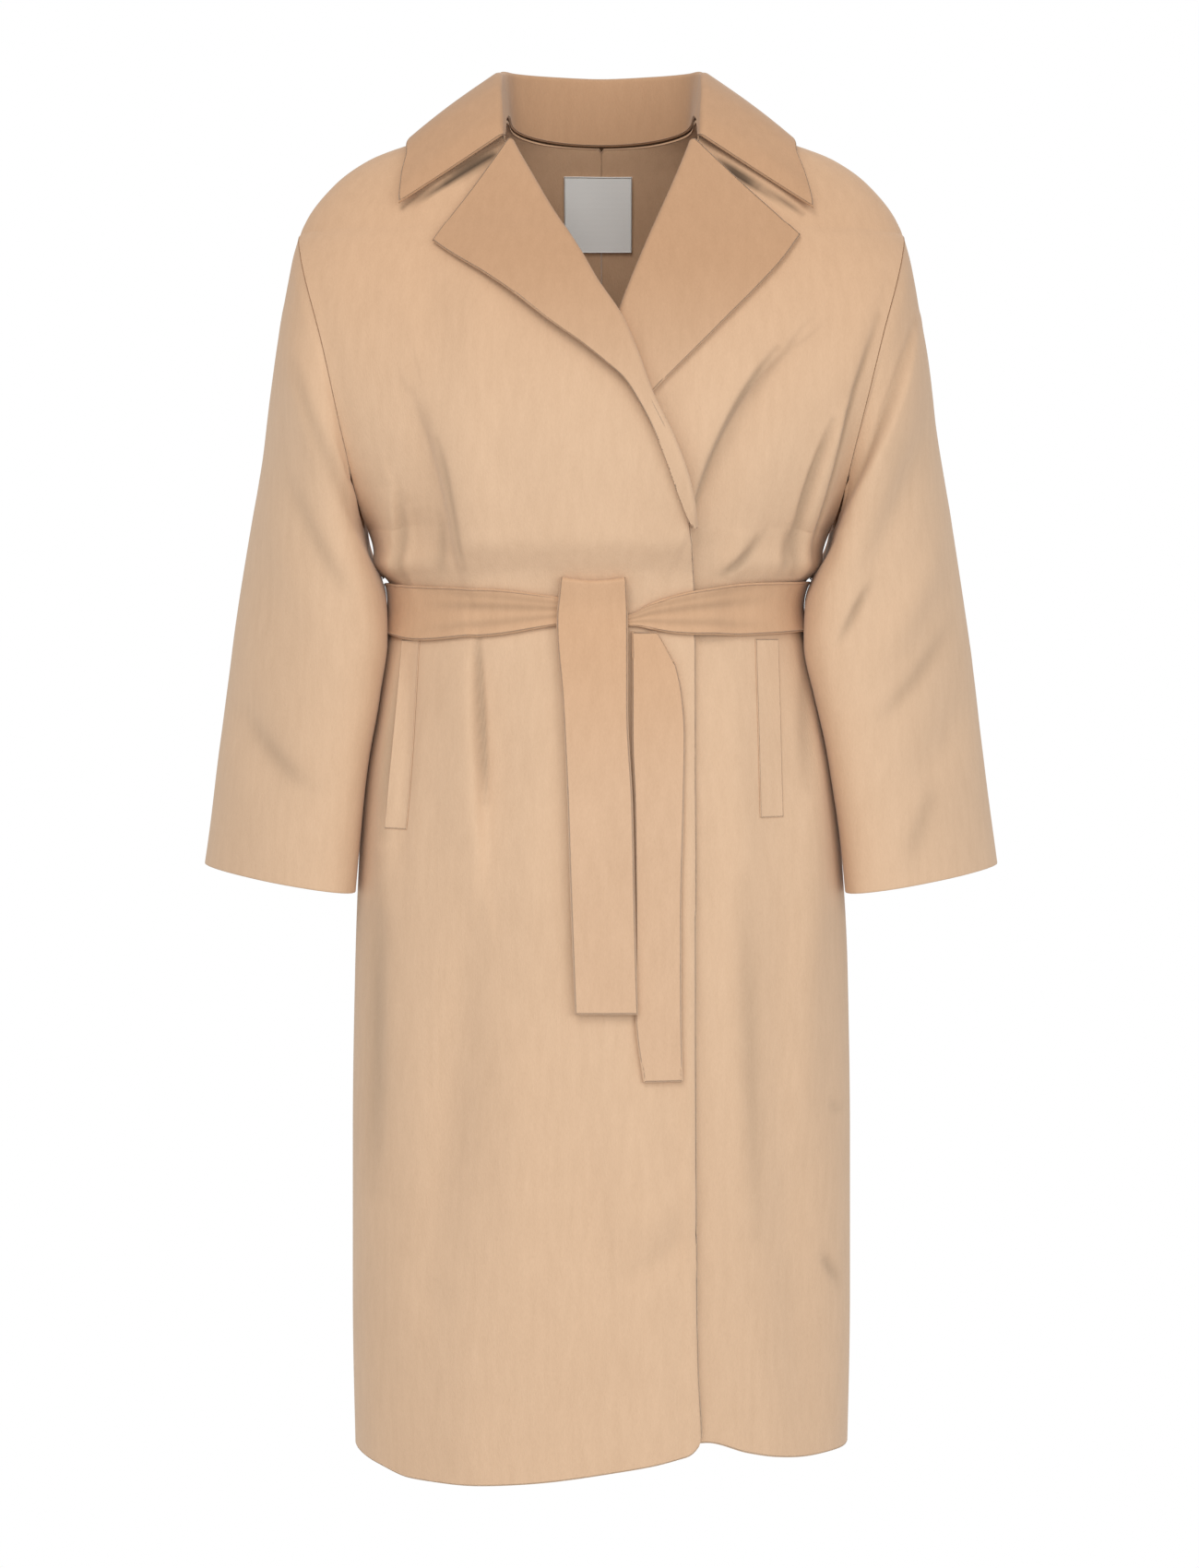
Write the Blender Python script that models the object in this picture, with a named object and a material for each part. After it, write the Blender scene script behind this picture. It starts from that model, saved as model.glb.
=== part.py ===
"""Belted wrap coat in heavy wool, filled out as if worn, open at neck, hem and cuffs.

The coat faces -Y, its wearer's left is +X and +Z is up. The origin lies inside the neck, level
with the back neck seam. Every piece is a closed wall of cloth: a grid of points worked out on the
coat's form, and the same grid moved out by the thickness of the cloth.
All sizes below are in millimetres and degrees.
"""
import math

import bpy
import numpy as np

MM = 0.001

for old in list(bpy.data.objects):
    bpy.data.objects.remove(old, do_unlink=True)

# Cloth
WALL = 2.4          # coat cloth
TRIM_WALL = 2.8     # lapels and collar
BELT_WALL = 3.0     # belt, two layers pressed flat
BELT_EASE = 0.6     # the belt bridges the hollow of the waist
WELT_WALL = 1.6
LABEL_WALL = 1.0
SEAM = 0.35         # between the edges of two sewn pieces
LIE = 0.8           # between a piece and the one it lies on

# Main levels
HEM_Z = -1130.0
UNDERARM_Z = -339.0
WAIST_Z = -420.0     # each panel's solid parts here, under the belt all the way round
SHOULDER_Z = -85.0
NECK_SIDE_Z = 12.0
NECK_HALF_WIDTH = 80.0
ARMHOLE_HALF_DEPTH = 78.0
ARMHOLE_TURN = 35.0  # how far short of the side a panel ends in the middle of the armhole

# Counts along the grids
FRONT_COLUMNS = 15
BACK_COLUMNS = 13
ARMHOLE_ROWS = 10
SLEEVE_SIDES = 2 * ARMHOLE_ROWS


def table(names, *rows):
    """A dictionary with one array for each named column."""
    return dict(zip(names.split(), np.array(rows, float).T))


# The coat's form, ring by ring: half width and depths of the inside of the cloth, and how far
# the ring's middle lies to the side.
BODY = table(
    "z half_width front back shift",
    (-1160, 210, 150, 141, 0),
    (-1000, 213, 149, 141, 0),
    (-860, 213, 146, 140, 0),
    (-720, 211, 142, 138, 0),
    (-610, 206, 136, 134, -1),
    (-552, 201, 130, 130, -2),
    (-500, 192, 124, 123, -3),
    (-442, 181, 114, 114, -5),
    (-406, 174, 107, 108, -5),
    (-385, 176, 110, 111, -4),
    (-362, 185, 117, 115, -3),
    (-339, 198, 122, 119, -2),
    (-260, 217, 128, 124, -1),
    (-180, 236, 122, 124, 0),
    (-106, 256, 104, 114, 0),
    (-88, 259, 97, 110, 0),
    (-74, 254, 91, 106, 0),
    (-43, 230, 78, 95, 0),
    (-22, 201, 68, 86, 0),
    (-7, 161, 60, 78, 0),
    (4, 119, 55, 72, 0),
    (8.8, 100, 52, 69, 0),
    (12, 80, 50, 67, 0),
    (14, 60, 48, 65, 0),
)

# How far the hem is lifted across the top front and the under front.
HEM_OVER = table("x lift", (-215, 2), (-187, -2), (-160, -7), (-129, -6), (-90, -3), (38, 16), (84, 26))
HEM_UNDER = table("x lift", (-90, 34), (85, 32), (121, 20), (146, 13), (173, 8), (195, 6), (215, 2))

# Front edge and roll line of each front, from the hem up to the neck.
EDGE_OVER = table(
    "z x",
    (-1160, 82), (-1000, 78), (-700, 77), (-440, 77), (-380, 76), (-341, 72), (-302, 65), (-266, 53),
    (-237, 39), (-175, 15), (-140, -8), (-114, -22), (-82, -42), (-50, -60), (-19, -77), (-8, -82),
)
EDGE_UNDER = table(
    "z x",
    (-1160, -76), (-1000, -74), (-440, -72), (-345, -66), (-300, -42), (-240, -11), (-175, 15),
    (-155, 22), (-117, 37), (-82, 52), (-47, 67), (-22, 77), (-8, 82),
)

# Lapels: a row from the roll line to the outer edge for each line down the lapel.
LAPEL_OVER = table(
    "roll_z edge_x edge_z",
    (-14, -141, -101), (-48, -121, -116), (-84, -96, -133), (-118, -72, -150), (-152, -47, -169),
    (-184, -22, -186), (-212, 2, -205), (-234, 18, -219), (-256, 30, -237), (-280, 42, -260),
    (-303, 51, -283), (-322, 60, -310), (-339, 68, -331),
)
LAPEL_UNDER = table(
    "roll_z edge_x edge_z",
    (-14, 167, -95), (-42, 150, -118), (-76, 125, -145), (-108, 101, -169), (-140, 76, -194),
    (-170, 51, -219), (-200, 26, -246), (-232, 2, -272), (-264, -20, -298), (-300, -44, -322),
    (-338, -63, -340),
)
ROLL_RADIUS = 3.4
ROLL_GAP = 1.0      # a lapel starts this far beside its roll line
OVER_LIFT = 4.8     # the top front above the form where it covers the under front
LAPEL_ROOM = 6.0    # and more above the belt, where the under lapel lies between them
LAPEL_LIE = 2.0     # a lapel's outer edge stands a little proud of the front

# Collar: a station for each place round the neck, counted from -1 at the wearer's right end to
# 1 at the left end. The roll is its top edge; the outer edge lies on the coat at an angle round
# it, 0 at the middle of the back and 180 at the middle of the front.
COLLAR = table(
    "place roll_x roll_y roll_z edge_turn edge_z",
    (-1.0, -84, -63, -6, -135.5, -62),
    (-0.88, -85, -50, 14, -127, -42),
    (-0.74, -87, -24, 40, -115, -22),
    (-0.6, -87, 8, 55, -92, -7),
    (-0.42, -79, 48, 60, -58, -12),
    (-0.2, -44, 74, 60, -28, -24),
    (0.0, 0, 83, 60, 0, -27),
    (0.2, 44, 74, 60, 28, -24),
    (0.42, 79, 48, 60, 58, -12),
    (0.6, 87, 8, 55, 92, -7),
    (0.74, 87, -24, 40, 115, -22),
    (0.88, 85, -50, 14, 127, -42),
    (1.0, 84, -63, -6, 134.5, -64),
)
COLLAR_STATIONS = 29
COLLAR_LIFT = 7.0   # outer edge of the collar above the coat's inside

# Sleeve rings inside the cloth, for the wearer's left: outer and inner line seen from the front.
# The inner line keeps its place beside the body where the body's middle shifts.
SLEEVE = table(
    "outer_x outer_z inner_x inner_z half_depth y",
    (262.4, -85, 206, -339, 78, 0),
    (266, -100, 204, -346, 78.5, 1),
    (270.3, -126, 202, -356, 78.5, 2),
    (277.2, -170, 197.4, -368, 77.6, 3),
    (286.1, -222, 191.4, -382, 75.6, 4),
    (296.1, -284, 190, -405, 72.6, 4),
    (308.2, -352, 192.2, -438, 68.6, 4),
    (319.4, -424, 197.6, -484, 65.6, 3),
    (328.3, -494, 206, -535, 62.6, 3),
    (337, -563, 212, -590, 60.6, 2),
    (345.8, -632, 216, -651, 59.6, 2),
)
SLEEVE_ROWS = 17
SLEEVE_PARTS_ROW = 8  # each sleeve's solid parts at this row, above the elbow
SLEEVE_PARTS_GAP = 0.8   # between the two lengths
FOLD_START = 1.0     # the sleeve's folds start this far down, counted in sections
SEAM_BLEND = 3.0     # and the pull of the armhole seam on it ends this far down
SEAM_TURN = 2.6      # the wall stands as the panels' does only this far down
UNDERARM_OPEN = -0.88   # low on the ring the sleeve folds back and stands off the seam
UNDERARM_SEWN = -0.50

# Belt round the waist, by angle round the coat from the middle of the back.
BELT = table(
    "turn top bottom",
    (-172, -397, -423), (-150, -389, -433), (-125, -388, -436), (-100, -385, -431), (-60, -384, -434),
    (0, -383, -435), (60, -383, -434), (100, -382, -429), (128, -384, -431), (140, -386, -432),
    (152, -390, -432), (159, -395, -431), (165, -402, -428), (170, -412, -425), (175, -416, -425),
)
TAIL_FRONT = table(
    "z left right",
    (-379, -33, 20), (-422, -36, 21), (-489, -31, 21), (-574, -27, 25), (-664, -24, 27), (-742, -21, 29),
)
TAIL_BACK = table(
    "z left right",
    (-440, 24, 60), (-470, 24, 64), (-513, 24, 67), (-574, 26, 66), (-664, 27, 64), (-745, 27, 64),
    (-798, 33, 65),
)

# Welts: the middle line of each, down the front.
WELT = table("x_top z_top x_foot z_foot width", (144, -435, 150, -594, 21), (-168, -437, -176, -594, 18))

# Label inside the back neck.
LABEL_CENTRE_X = -3.0
LABEL_TOP_Z = -22.0
LABEL_WIDTH = 61.0
LABEL_HEIGHT = 66.0
LABEL_LIE = 2.0

# Largest folds of the body: three points of a curve, seen from the front or the back, with the
# half width and the height. A height below zero is a trough. Side -1 is the front, 1 the back.
FOLDS = table(
    "side x0 z0 x1 z1 x2 z2 width height",
    (-1, 164, -188, 112, -248, 80, -335, 15, 11),
    (-1, 180, -222, 134, -272, 100, -350, 12, -9),
    (-1, 200, -236, 174, -310, 162, -378, 13, 8),
    (-1, 120, -340, 112, -362, 104, -384, 9, 5),
    (-1, 146, -340, 138, -362, 134, -384, 9, 5),
    (-1, -156, -196, -124, -270, -112, -378, 15, 7),
    (-1, -190, -300, -174, -340, -168, -380, 11, 6),
    (-1, -112, -436, -112, -520, -108, -600, 15, -9),
    (-1, -60, -470, -54, -580, -50, -720, 24, 4),
    (-1, -106, -600, -124, -780, -154, -980, 22, -9),
    (-1, -150, -440, -156, -560, -166, -700, 12, 7),
    (-1, 108, -440, 112, -620, 130, -900, 18, 6),
    (-1, 178, -440, 176, -600, 168, -860, 16, 7),
    (-1, 150, -800, 160, -960, 178, -1120, 22, -7),
    (-1, 30, -760, 34, -950, 44, -1125, 26, 6),
    (-1, -40, -820, -44, -980, -50, -1135, 26, -5),
    (1, -130, -438, -126, -600, -120, -820, 18, 9),
    (1, -76, -438, -78, -640, -92, -980, 20, -9),
    (1, -30, -438, -28, -560, -26, -700, 14, 6),
    (1, 44, -438, 48, -640, 60, -960, 20, 9),
    (1, 96, -438, 104, -600, 120, -900, 20, -9),
    (1, 150, -438, 152, -560, 158, -720, 14, 7),
    (1, -150, -250, -120, -320, -112, -378, 14, 8),
    (1, -60, -290, -50, -335, -46, -380, 13, 6),
    (1, 30, -280, 34, -330, 36, -380, 13, 6),
    (1, 148, -240, 120, -310, 108, -378, 14, 8),
)

# Folds of the wearer's left sleeve, in the same way.
SLEEVE_FOLDS = table(
    "side x0 z0 x1 z1 x2 z2 width height",
    (-1, 272, -150, 240, -260, 208, -345, 13, 8),
    (-1, 276, -250, 254, -330, 216, -400, 14, -7),
    (-1, 292, -330, 272, -400, 232, -450, 18, 7),
    (-1, 322, -470, 302, -530, 264, -560, 20, -6),
    (1, 266, -160, 238, -260, 214, -345, 14, 8),
    (1, 294, -320, 264, -390, 228, -430, 16, -7),
    (1, 324, -430, 292, -480, 242, -500, 18, 7),
)

COLOURS = {
    "cloth": (0.60, 0.41, 0.27),
    "cloth_shade": (0.56, 0.38, 0.25),
    "label": (0.80, 0.79, 0.75),
}


# ---- plain mathematics ----

def smooth(x, xs, ys):
    """A smooth curve through the points (xs, ys) that adds no wave between them, read at x."""
    order = np.argsort(xs)
    xs, ys = xs[order], ys[order]
    width = np.diff(xs)
    slope = np.diff(ys) / width
    same_way = slope[:-1] * slope[1:] > 0
    total = slope[:-1] + slope[1:]
    middle = np.where(same_way, 2 * slope[:-1] * slope[1:] / np.where(same_way, total, 1), 0)
    tangent = np.concatenate([slope[:1], middle, slope[-1:]])
    i = np.clip(np.searchsorted(xs, x) - 1, 0, len(width) - 1)
    w = width[i]
    t = (np.clip(x, xs[0], xs[-1]) - xs[i]) / w
    left = ys[i] * (1 + 2 * t) * (1 - t) ** 2 + w * tangent[i] * t * (1 - t) ** 2
    right = ys[i + 1] * t * t * (3 - 2 * t) + w * tangent[i + 1] * t * t * (t - 1)
    return left + right


def read(columns, name, at, key="z"):
    """The value of a table's column, read smoothly at another column's value."""
    return smooth(np.asarray(at, float), columns[key], columns[name])


def step(x, start, end):
    """0 before start, 1 after end, and an even rise between."""
    t = np.clip((np.asarray(x, float) - start) / (end - start), 0, 1)
    return t * t * (3 - 2 * t)


def unit(v):
    """Vectors made one long."""
    return v / np.maximum(np.linalg.norm(v, axis=-1, keepdims=True), 1e-9)


def stack(x, y, z):
    """Three arrays as one array of points."""
    return np.stack(np.broadcast_arrays(x, y, z), axis=-1).astype(float)


# ---- the coat's form ----

def armhole(z):
    """Cosine of the angle round the armhole at a height: 1 at its middle, 0 above and below."""
    middle = 0.5 * (UNDERARM_Z + SHOULDER_Z)
    half = 0.5 * (SHOULDER_Z - UNDERARM_Z)
    sine = np.clip((np.asarray(z, float) - middle) / half, -1, 1)
    return np.sqrt(np.maximum(1 - sine * sine, 0))


def edge_turn(z):
    """The angle at which a panel ends at its side seam or armhole."""
    return np.radians(90 - ARMHOLE_TURN * armhole(z))


def form(turn, z, side):
    """The inside of the coat: a half ellipse at each height, with a flat rim to the armhole."""
    end = edge_turn(z)
    width = read(BODY, "half_width", z) / np.sin(end)
    depth = np.where(side < 0, read(BODY, "front", z), read(BODY, "back", z))
    rim = (ARMHOLE_HALF_DEPTH * armhole(z) - depth * np.cos(end)) / (1 - np.cos(end))
    y = side * (rim + (depth - rim) * np.cos(turn))
    return stack(width * np.sin(turn) + read(BODY, "shift", z), y, z)


def outward(turn, z, side):
    """The direction that leaves the form at a right angle."""
    small_turn, small_z = 0.004, 0.4
    across = form(turn + small_turn, z, side) - form(turn - small_turn, z, side)
    up = form(turn, z + small_z, side) - form(turn, z - small_z, side)
    return unit(np.cross(across, up)) * -np.asarray(side, float)[..., None]


def turn_at(x, z):
    """The angle on the form at a place seen from the front or the back."""
    width = read(BODY, "half_width", z) / np.sin(edge_turn(z))
    return np.arcsin(np.clip((x - read(BODY, "shift", z)) / width, -1, 1))


def fold_height(folds, x, z, side):
    """The sum of all folds at a place: each is a bell across its curve, tapered at its ends."""
    total = np.zeros(np.shape(x))
    t = np.linspace(0, 1, 25)
    taper = np.sin(np.pi * np.clip(t, 0.06, 0.94)) ** 0.6
    for side_of, x0, z0, x1, z1, x2, z2, width, height in zip(*folds.values()):
        curve_x = x0 * (1 - t) ** 2 + 2 * x1 * t * (1 - t) + x2 * t * t
        curve_z = z0 * (1 - t) ** 2 + 2 * z1 * t * (1 - t) + z2 * t * t
        away = (x[..., None] - curve_x) ** 2 + (z[..., None] - curve_z) ** 2
        bell = (np.exp(-away / width ** 2) * taper).max(axis=-1)
        total += np.where(side == side_of, height * bell, 0)
    return total


def skin(turn, z, side, lift):
    """A point on the coat's form, moved out by the folds and by a lift."""
    side = np.broadcast_to(side, np.shape(turn))
    point = form(turn, z, side)
    calm = 1 - step(np.abs(np.sin(turn)), 0.9, 1.0)
    out = fold_height(FOLDS, point[..., 0], point[..., 2], side) * calm + lift
    return point + outward(turn, z, side) * out[..., None]


def skin_round(round_turn, z, lift):
    """The same, by an angle round the coat: 0 at the back, 180 at the front, minus to the right."""
    angle = np.radians(np.asarray(round_turn, float))
    side = np.where(np.cos(angle) >= 0, 1.0, -1.0)
    return skin(np.arcsin(np.sin(angle)), z, side, lift)


def over_lift(x, z):
    """How far the top front is held off the form where it covers the under front."""
    closed = 1 - step(z, -150, -60)
    return closed * (OVER_LIFT + LAPEL_ROOM * step(z, -376, -346)) * step(x, -150, -96)


def neck_place(place):
    """The neck seam: angle, height and side for a place from 0, middle of the back, to 1."""
    along = np.abs(np.asarray(place, float))
    back = np.radians(90) * np.clip(along / 0.5, 0, 1)
    front = np.clip((along - 0.5) / 0.5, 0, 1)
    z = np.where(along < 0.5, NECK_SIDE_Z * (1 - np.cos(back)), NECK_SIDE_Z - 20 * front ** 2)
    x = np.where(along < 0.5, NECK_HALF_WIDTH * np.sin(back), NECK_HALF_WIDTH + 2 * front)
    side = np.where(along < 0.5, 1.0, -1.0)
    return turn_at(x, z) * np.sign(np.asarray(place, float)), z, side


# ---- closed walls ----

def grid_normals(points, loop):
    """Directions at a right angle to a grid of points; loop closes its second way round."""
    along = np.gradient(points, axis=0)
    if loop:
        across = np.roll(points, -1, axis=1) - np.roll(points, 1, axis=1)
    else:
        across = np.gradient(points, axis=1)
    return unit(np.cross(along, across))


def add_wall(name, inner, outer, colour, loop=False):
    """A closed body between two grids of points, joined round their edges."""
    rows, columns = inner.shape[:2]
    count = rows * columns
    index = np.arange(count).reshape(rows, columns)
    right = np.roll(index, -1, axis=1)
    if loop:
        a, b = index[:-1], right[:-1]
        c, d = right[1:], index[1:]
    else:
        a, b = index[:-1, :-1], index[:-1, 1:]
        c, d = index[1:, 1:], index[1:, :-1]
    face = np.stack([a, b, c, d], axis=-1).reshape(-1, 4)
    faces = [face + count, face[:, ::-1]]
    rims = [index[0], index[-1][::-1]]
    if not loop:
        rims += [index[:, -1], index[::-1, 0]]
    for rim in rims:
        after = np.roll(rim, -1) if loop else rim[1:]
        before = rim if loop else rim[:-1]
        faces.append(np.stack([before, after, after + count, before + count], axis=-1))
    mesh = bpy.data.meshes.new(name)
    points = np.concatenate([inner.reshape(-1, 3), outer.reshape(-1, 3)]) * MM
    mesh.from_pydata(points.tolist(), [], np.concatenate(faces).tolist())
    mesh.update()
    face_outwards(mesh)
    mesh.shade_smooth()
    mesh.set_sharp_from_angle(angle=math.radians(50))
    mesh.materials.append(material(colour))
    obj = bpy.data.objects.new(name, mesh)
    bpy.context.collection.objects.link(obj)
    return obj


def face_outwards(mesh):
    """Turn a closed mesh the right way out if its volume is below zero."""
    points = np.empty(len(mesh.vertices) * 3)
    mesh.vertices.foreach_get("co", points)
    points = points.reshape(-1, 3)
    mesh.calc_loop_triangles()
    corners = np.empty(len(mesh.loop_triangles) * 3, dtype=np.int32)
    mesh.loop_triangles.foreach_get("vertices", corners)
    a, b, c = points[corners.reshape(-1, 3)].transpose(1, 0, 2)
    if np.sum(a * np.cross(b, c)) < 0:
        mesh.flip_normals()


def material(name):
    """A plain cloth material of one colour."""
    found = bpy.data.materials.get(name)
    if found:
        return found
    new = bpy.data.materials.new(name)
    new.use_nodes = True
    shader = new.node_tree.nodes["Principled BSDF"]
    shader.inputs["Base Color"].default_value = (*COLOURS[name], 1)
    shader.inputs["Roughness"].default_value = 0.85
    shader.inputs["Metallic"].default_value = 0.0
    return new


def add_sheet(name, middle, wall, colour):
    """A wall half its thickness each way from a grid of points."""
    normal = grid_normals(middle, False)
    return add_wall(name, middle - normal * wall / 2, middle + normal * wall / 2, colour)


# ---- panels ----

SKIRT_LEVELS = np.array([HEM_Z, -1060, -980, -890, -800, -720, -650, -595, -548, -508, -474, -446,
                         WAIST_Z, -404, -386, -370, -354, UNDERARM_Z])


def panel(name, edge, side, out, columns, hem, lift):
    """A front or back panel. Rows run from its centre edge to the side seam or the armhole.

    The first rows are level; above the underarm they lean until the last is the shoulder seam.
    Its solid is made in two lengths that meet under the belt.
    """
    around = np.radians(np.linspace(-90, 90, ARMHOLE_ROWS + 1))[1:]
    middle = 0.5 * (UNDERARM_Z + SHOULDER_Z)
    half = 0.5 * (SHOULDER_Z - UNDERARM_Z)
    outer_z = np.concatenate([SKIRT_LEVELS, middle + half * np.sin(around[:-1]), [SHOULDER_Z]])
    outer_turn = edge_turn(outer_z) * out
    outer_turn[-1] = np.radians(90) * out
    inner_turn, inner_z = edge
    s = np.linspace(0, 1, columns)
    turn = inner_turn[:, None] * (1 - s) + outer_turn[:, None] * s
    z = inner_z[:, None] * (1 - s) + outer_z[:, None] * s
    x = form(turn, z, np.full(turn.shape, side))[..., 0]
    if hem is not None:
        z = z + read(hem, "lift", x, key="x") * (1 - step(z, HEM_Z, HEM_Z + 120))
    gap = SEAM / 2 / read(BODY, "front", z)
    turn = np.clip(turn, gap - np.pi / 2, np.pi / 2 - gap)
    colour = "cloth" if out > 0 else "cloth_shade"
    waist = int(np.argmin(np.abs(SKIRT_LEVELS - WAIST_Z)))
    lengths = ((name, slice(waist, None), SEAM), (name + "_skirt", slice(waist + 1), 0))
    for part_name, rows, raised in lengths:
        part_z = z[rows].copy()
        part_z[0] += raised
        inner = skin(turn[rows], part_z, side, lift(x[rows], part_z))
        outer = skin(turn[rows], part_z, side, lift(x[rows], part_z) + WALL)
        add_wall(part_name, inner, outer, colour)


def front_edge(edge, out):
    """The inner edge of a front: up its edge and roll line, then round to the side of the neck."""
    rise = np.array([-295.0, -250, -205, -160, -115, -65, -8])
    z = np.concatenate([SKIRT_LEVELS, rise])
    turn = turn_at(read(edge, "x", z), z)
    neck_turn, neck_z, _ = neck_place(out * np.array([0.8, 0.64, 0.5]))
    return np.concatenate([turn, neck_turn]), np.concatenate([z, neck_z])


def back_edge(out):
    """The inner edge of a back half: up the centre seam, then round the back neck."""
    rise = np.array([-290.0, -240, -190, -140, -95, -50, 0])
    z = np.concatenate([SKIRT_LEVELS, rise])
    turn = turn_at(np.full(len(z), out * SEAM / 2), z)
    neck_turn, neck_z, _ = neck_place(out * np.array([0.17, 0.34, 0.5]))
    return np.concatenate([turn, neck_turn]), np.concatenate([z, neck_z])


def no_lift(x, z):
    """A panel that lies on the form itself."""
    return np.zeros(np.shape(x))


def make_panels():
    """Both fronts and both halves of the back."""
    panel("front_over", front_edge(EDGE_OVER, -1), -1, -1, FRONT_COLUMNS + 3, HEM_OVER, over_lift)
    panel("front_under", front_edge(EDGE_UNDER, 1), -1, 1, FRONT_COLUMNS + 2, HEM_UNDER, no_lift)
    panel("back_left", back_edge(1), 1, 1, BACK_COLUMNS, None, no_lift)
    panel("back_right", back_edge(-1), 1, -1, BACK_COLUMNS, None, no_lift)


# ---- sleeves ----

def panel_seam(z, side, out):
    """The panels' edge at the armhole, and the direction in which their wall stands there."""
    turn = out * edge_turn(z)
    return skin(turn, z, side, 0), outward(turn, z, side)


def off_edge(ring, normal):
    """The direction in which a wall leaves a closed ring of points at its edge."""
    return unit(np.cross(np.roll(ring, -1, axis=0) - np.roll(ring, 1, axis=0), normal))


def sleeve(name, out):
    """A tube through rings that fan out from the armhole to the cuff, its solid in two lengths."""
    station = np.arange(len(SLEEVE["y"]), dtype=float)
    at = np.linspace(0, 1, SLEEVE_ROWS) ** 1.15 * station[-1]
    row = {column: smooth(at, station, SLEEVE[column])[:, None] for column in SLEEVE}
    around = np.linspace(0, 2 * np.pi, SLEEVE_SIDES, endpoint=False)
    high = np.sin(around)
    side = np.where(np.cos(around) > 0, -1.0, 1.0)
    inner_x = row["inner_x"] + out * read(BODY, "shift", row["inner_z"])
    x = 0.5 * (row["outer_x"] + inner_x) + 0.5 * (row["outer_x"] - inner_x) * high
    z = 0.5 * (row["outer_z"] + row["inner_z"]) + 0.5 * (row["outer_z"] - row["inner_z"]) * high
    y = row["y"] - row["half_depth"] * np.cos(around)
    tube = stack(x, y, z)
    fold = fold_height(SLEEVE_FOLDS, x, z, side + 0 * x) * np.abs(np.cos(around)) ** 0.5
    fold = fold * step(at, 0, FOLD_START)[:, None]
    mirror = np.array([out, 1, 1])
    sewn = step(high, UNDERARM_OPEN, UNDERARM_SEWN)[:, None]
    seam, seam_normal = panel_seam(z[0], side, out)
    seam = seam * mirror
    seam_normal = seam_normal * mirror
    seam = seam + off_edge(seam, seam_normal) * 2 * SEAM
    near = step(at, SEAM_BLEND, 0)[:, None, None] * sewn
    tube = tube + (seam - tube[0]) * near
    normal = grid_normals(tube, True)
    near = step(at, SEAM_TURN, 0)[:, None, None] * sewn
    normal = unit(normal * (1 - near) + seam_normal * near)
    inner = tube + normal * fold[..., None]
    outer = inner + normal * WALL
    colour = "cloth" if out > 0 else "cloth_shade"
    parts = SLEEVE_PARTS_ROW
    add_wall(name, inner[:parts + 1] * mirror, outer[:parts + 1] * mirror, colour, loop=True)
    gap = off_edge(inner[parts], normal[parts]) * SLEEVE_PARTS_GAP
    inner[parts] += gap
    outer[parts] += gap
    add_wall(name + "_lower", inner[parts:] * mirror, outer[parts:] * mirror, colour, loop=True)


# ---- lapels and collar ----

def roll_line(edge, out, top, foot):
    """The roll line as the front panel's own edge has it: its rows and the points midway."""
    panel_turn, panel_z = front_edge(edge, out)
    panel_x = form(panel_turn, panel_z, -1.0)[:, 0]
    rows = np.concatenate([[foot], panel_z[(panel_z > foot + 1) & (panel_z < top - 1)], [top]])
    rows = np.sort(np.concatenate([rows, 0.5 * (rows[1:] + rows[:-1])]))[::-1]
    return np.interp(rows, panel_z, panel_x), rows


def lapel(name, rows, edge, out, lift):
    """A lapel: half a turn round the roll line, then flat over the front to its outer edge."""
    roll_x, roll_z = roll_line(edge, out, rows["roll_z"][0], rows["roll_z"][-1])
    rows = {column: read(rows, column, roll_z, key="roll_z") for column in rows}
    along = unit(np.stack([np.gradient(roll_x), np.gradient(roll_z)], axis=-1))
    away = np.stack([-along[:, 1], along[:, 0]], axis=-1)
    away *= np.sign(away[:, :1]) * -out
    beta = np.linspace(0, np.pi, 6)
    start_x = roll_x + away[:, 0] * ROLL_GAP
    start_z = roll_z + away[:, 1] * ROLL_GAP
    swing = np.sin(beta) * ROLL_RADIUS
    turn_x = start_x[:, None] + away[:, :1] * swing
    turn_z = start_z[:, None] + away[:, 1:] * swing
    s = np.linspace(0, 1, 9)[1:]
    flat_x = start_x[:, None] * (1 - s) + rows["edge_x"][:, None] * s
    flat_z = start_z[:, None] * (1 - s) + rows["edge_z"][:, None] * s
    x = np.concatenate([turn_x, flat_x], axis=1)
    z = np.concatenate([turn_z, flat_z], axis=1)
    rest = WALL + LAPEL_LIE + TRIM_WALL / 2
    rise = WALL / 2 + ROLL_RADIUS * (1 - np.cos(beta))
    fall = rest + (rise[-1] - rest) * (1 - s) ** 2
    height = np.concatenate([rise, fall])[None] + lift(x, z)
    middle = skin(turn_at(x, z), z, -1.0, height)
    return add_sheet(name, middle, TRIM_WALL, "cloth")


def clear_of_coat(points, side, gap):
    """Points pushed forward or back until they clear the coat under them."""
    x, y, z = points[..., 0], points[..., 1], points[..., 2]
    under = form(turn_at(x, z), z, side)
    reach = side * under[..., 1] + gap
    inside = (np.abs(x) < read(BODY, "half_width", z)) & (z < NECK_SIDE_Z)
    depth = np.where(inside, np.maximum(side * y, reach), side * y)
    return stack(x, side * depth, z)


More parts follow.
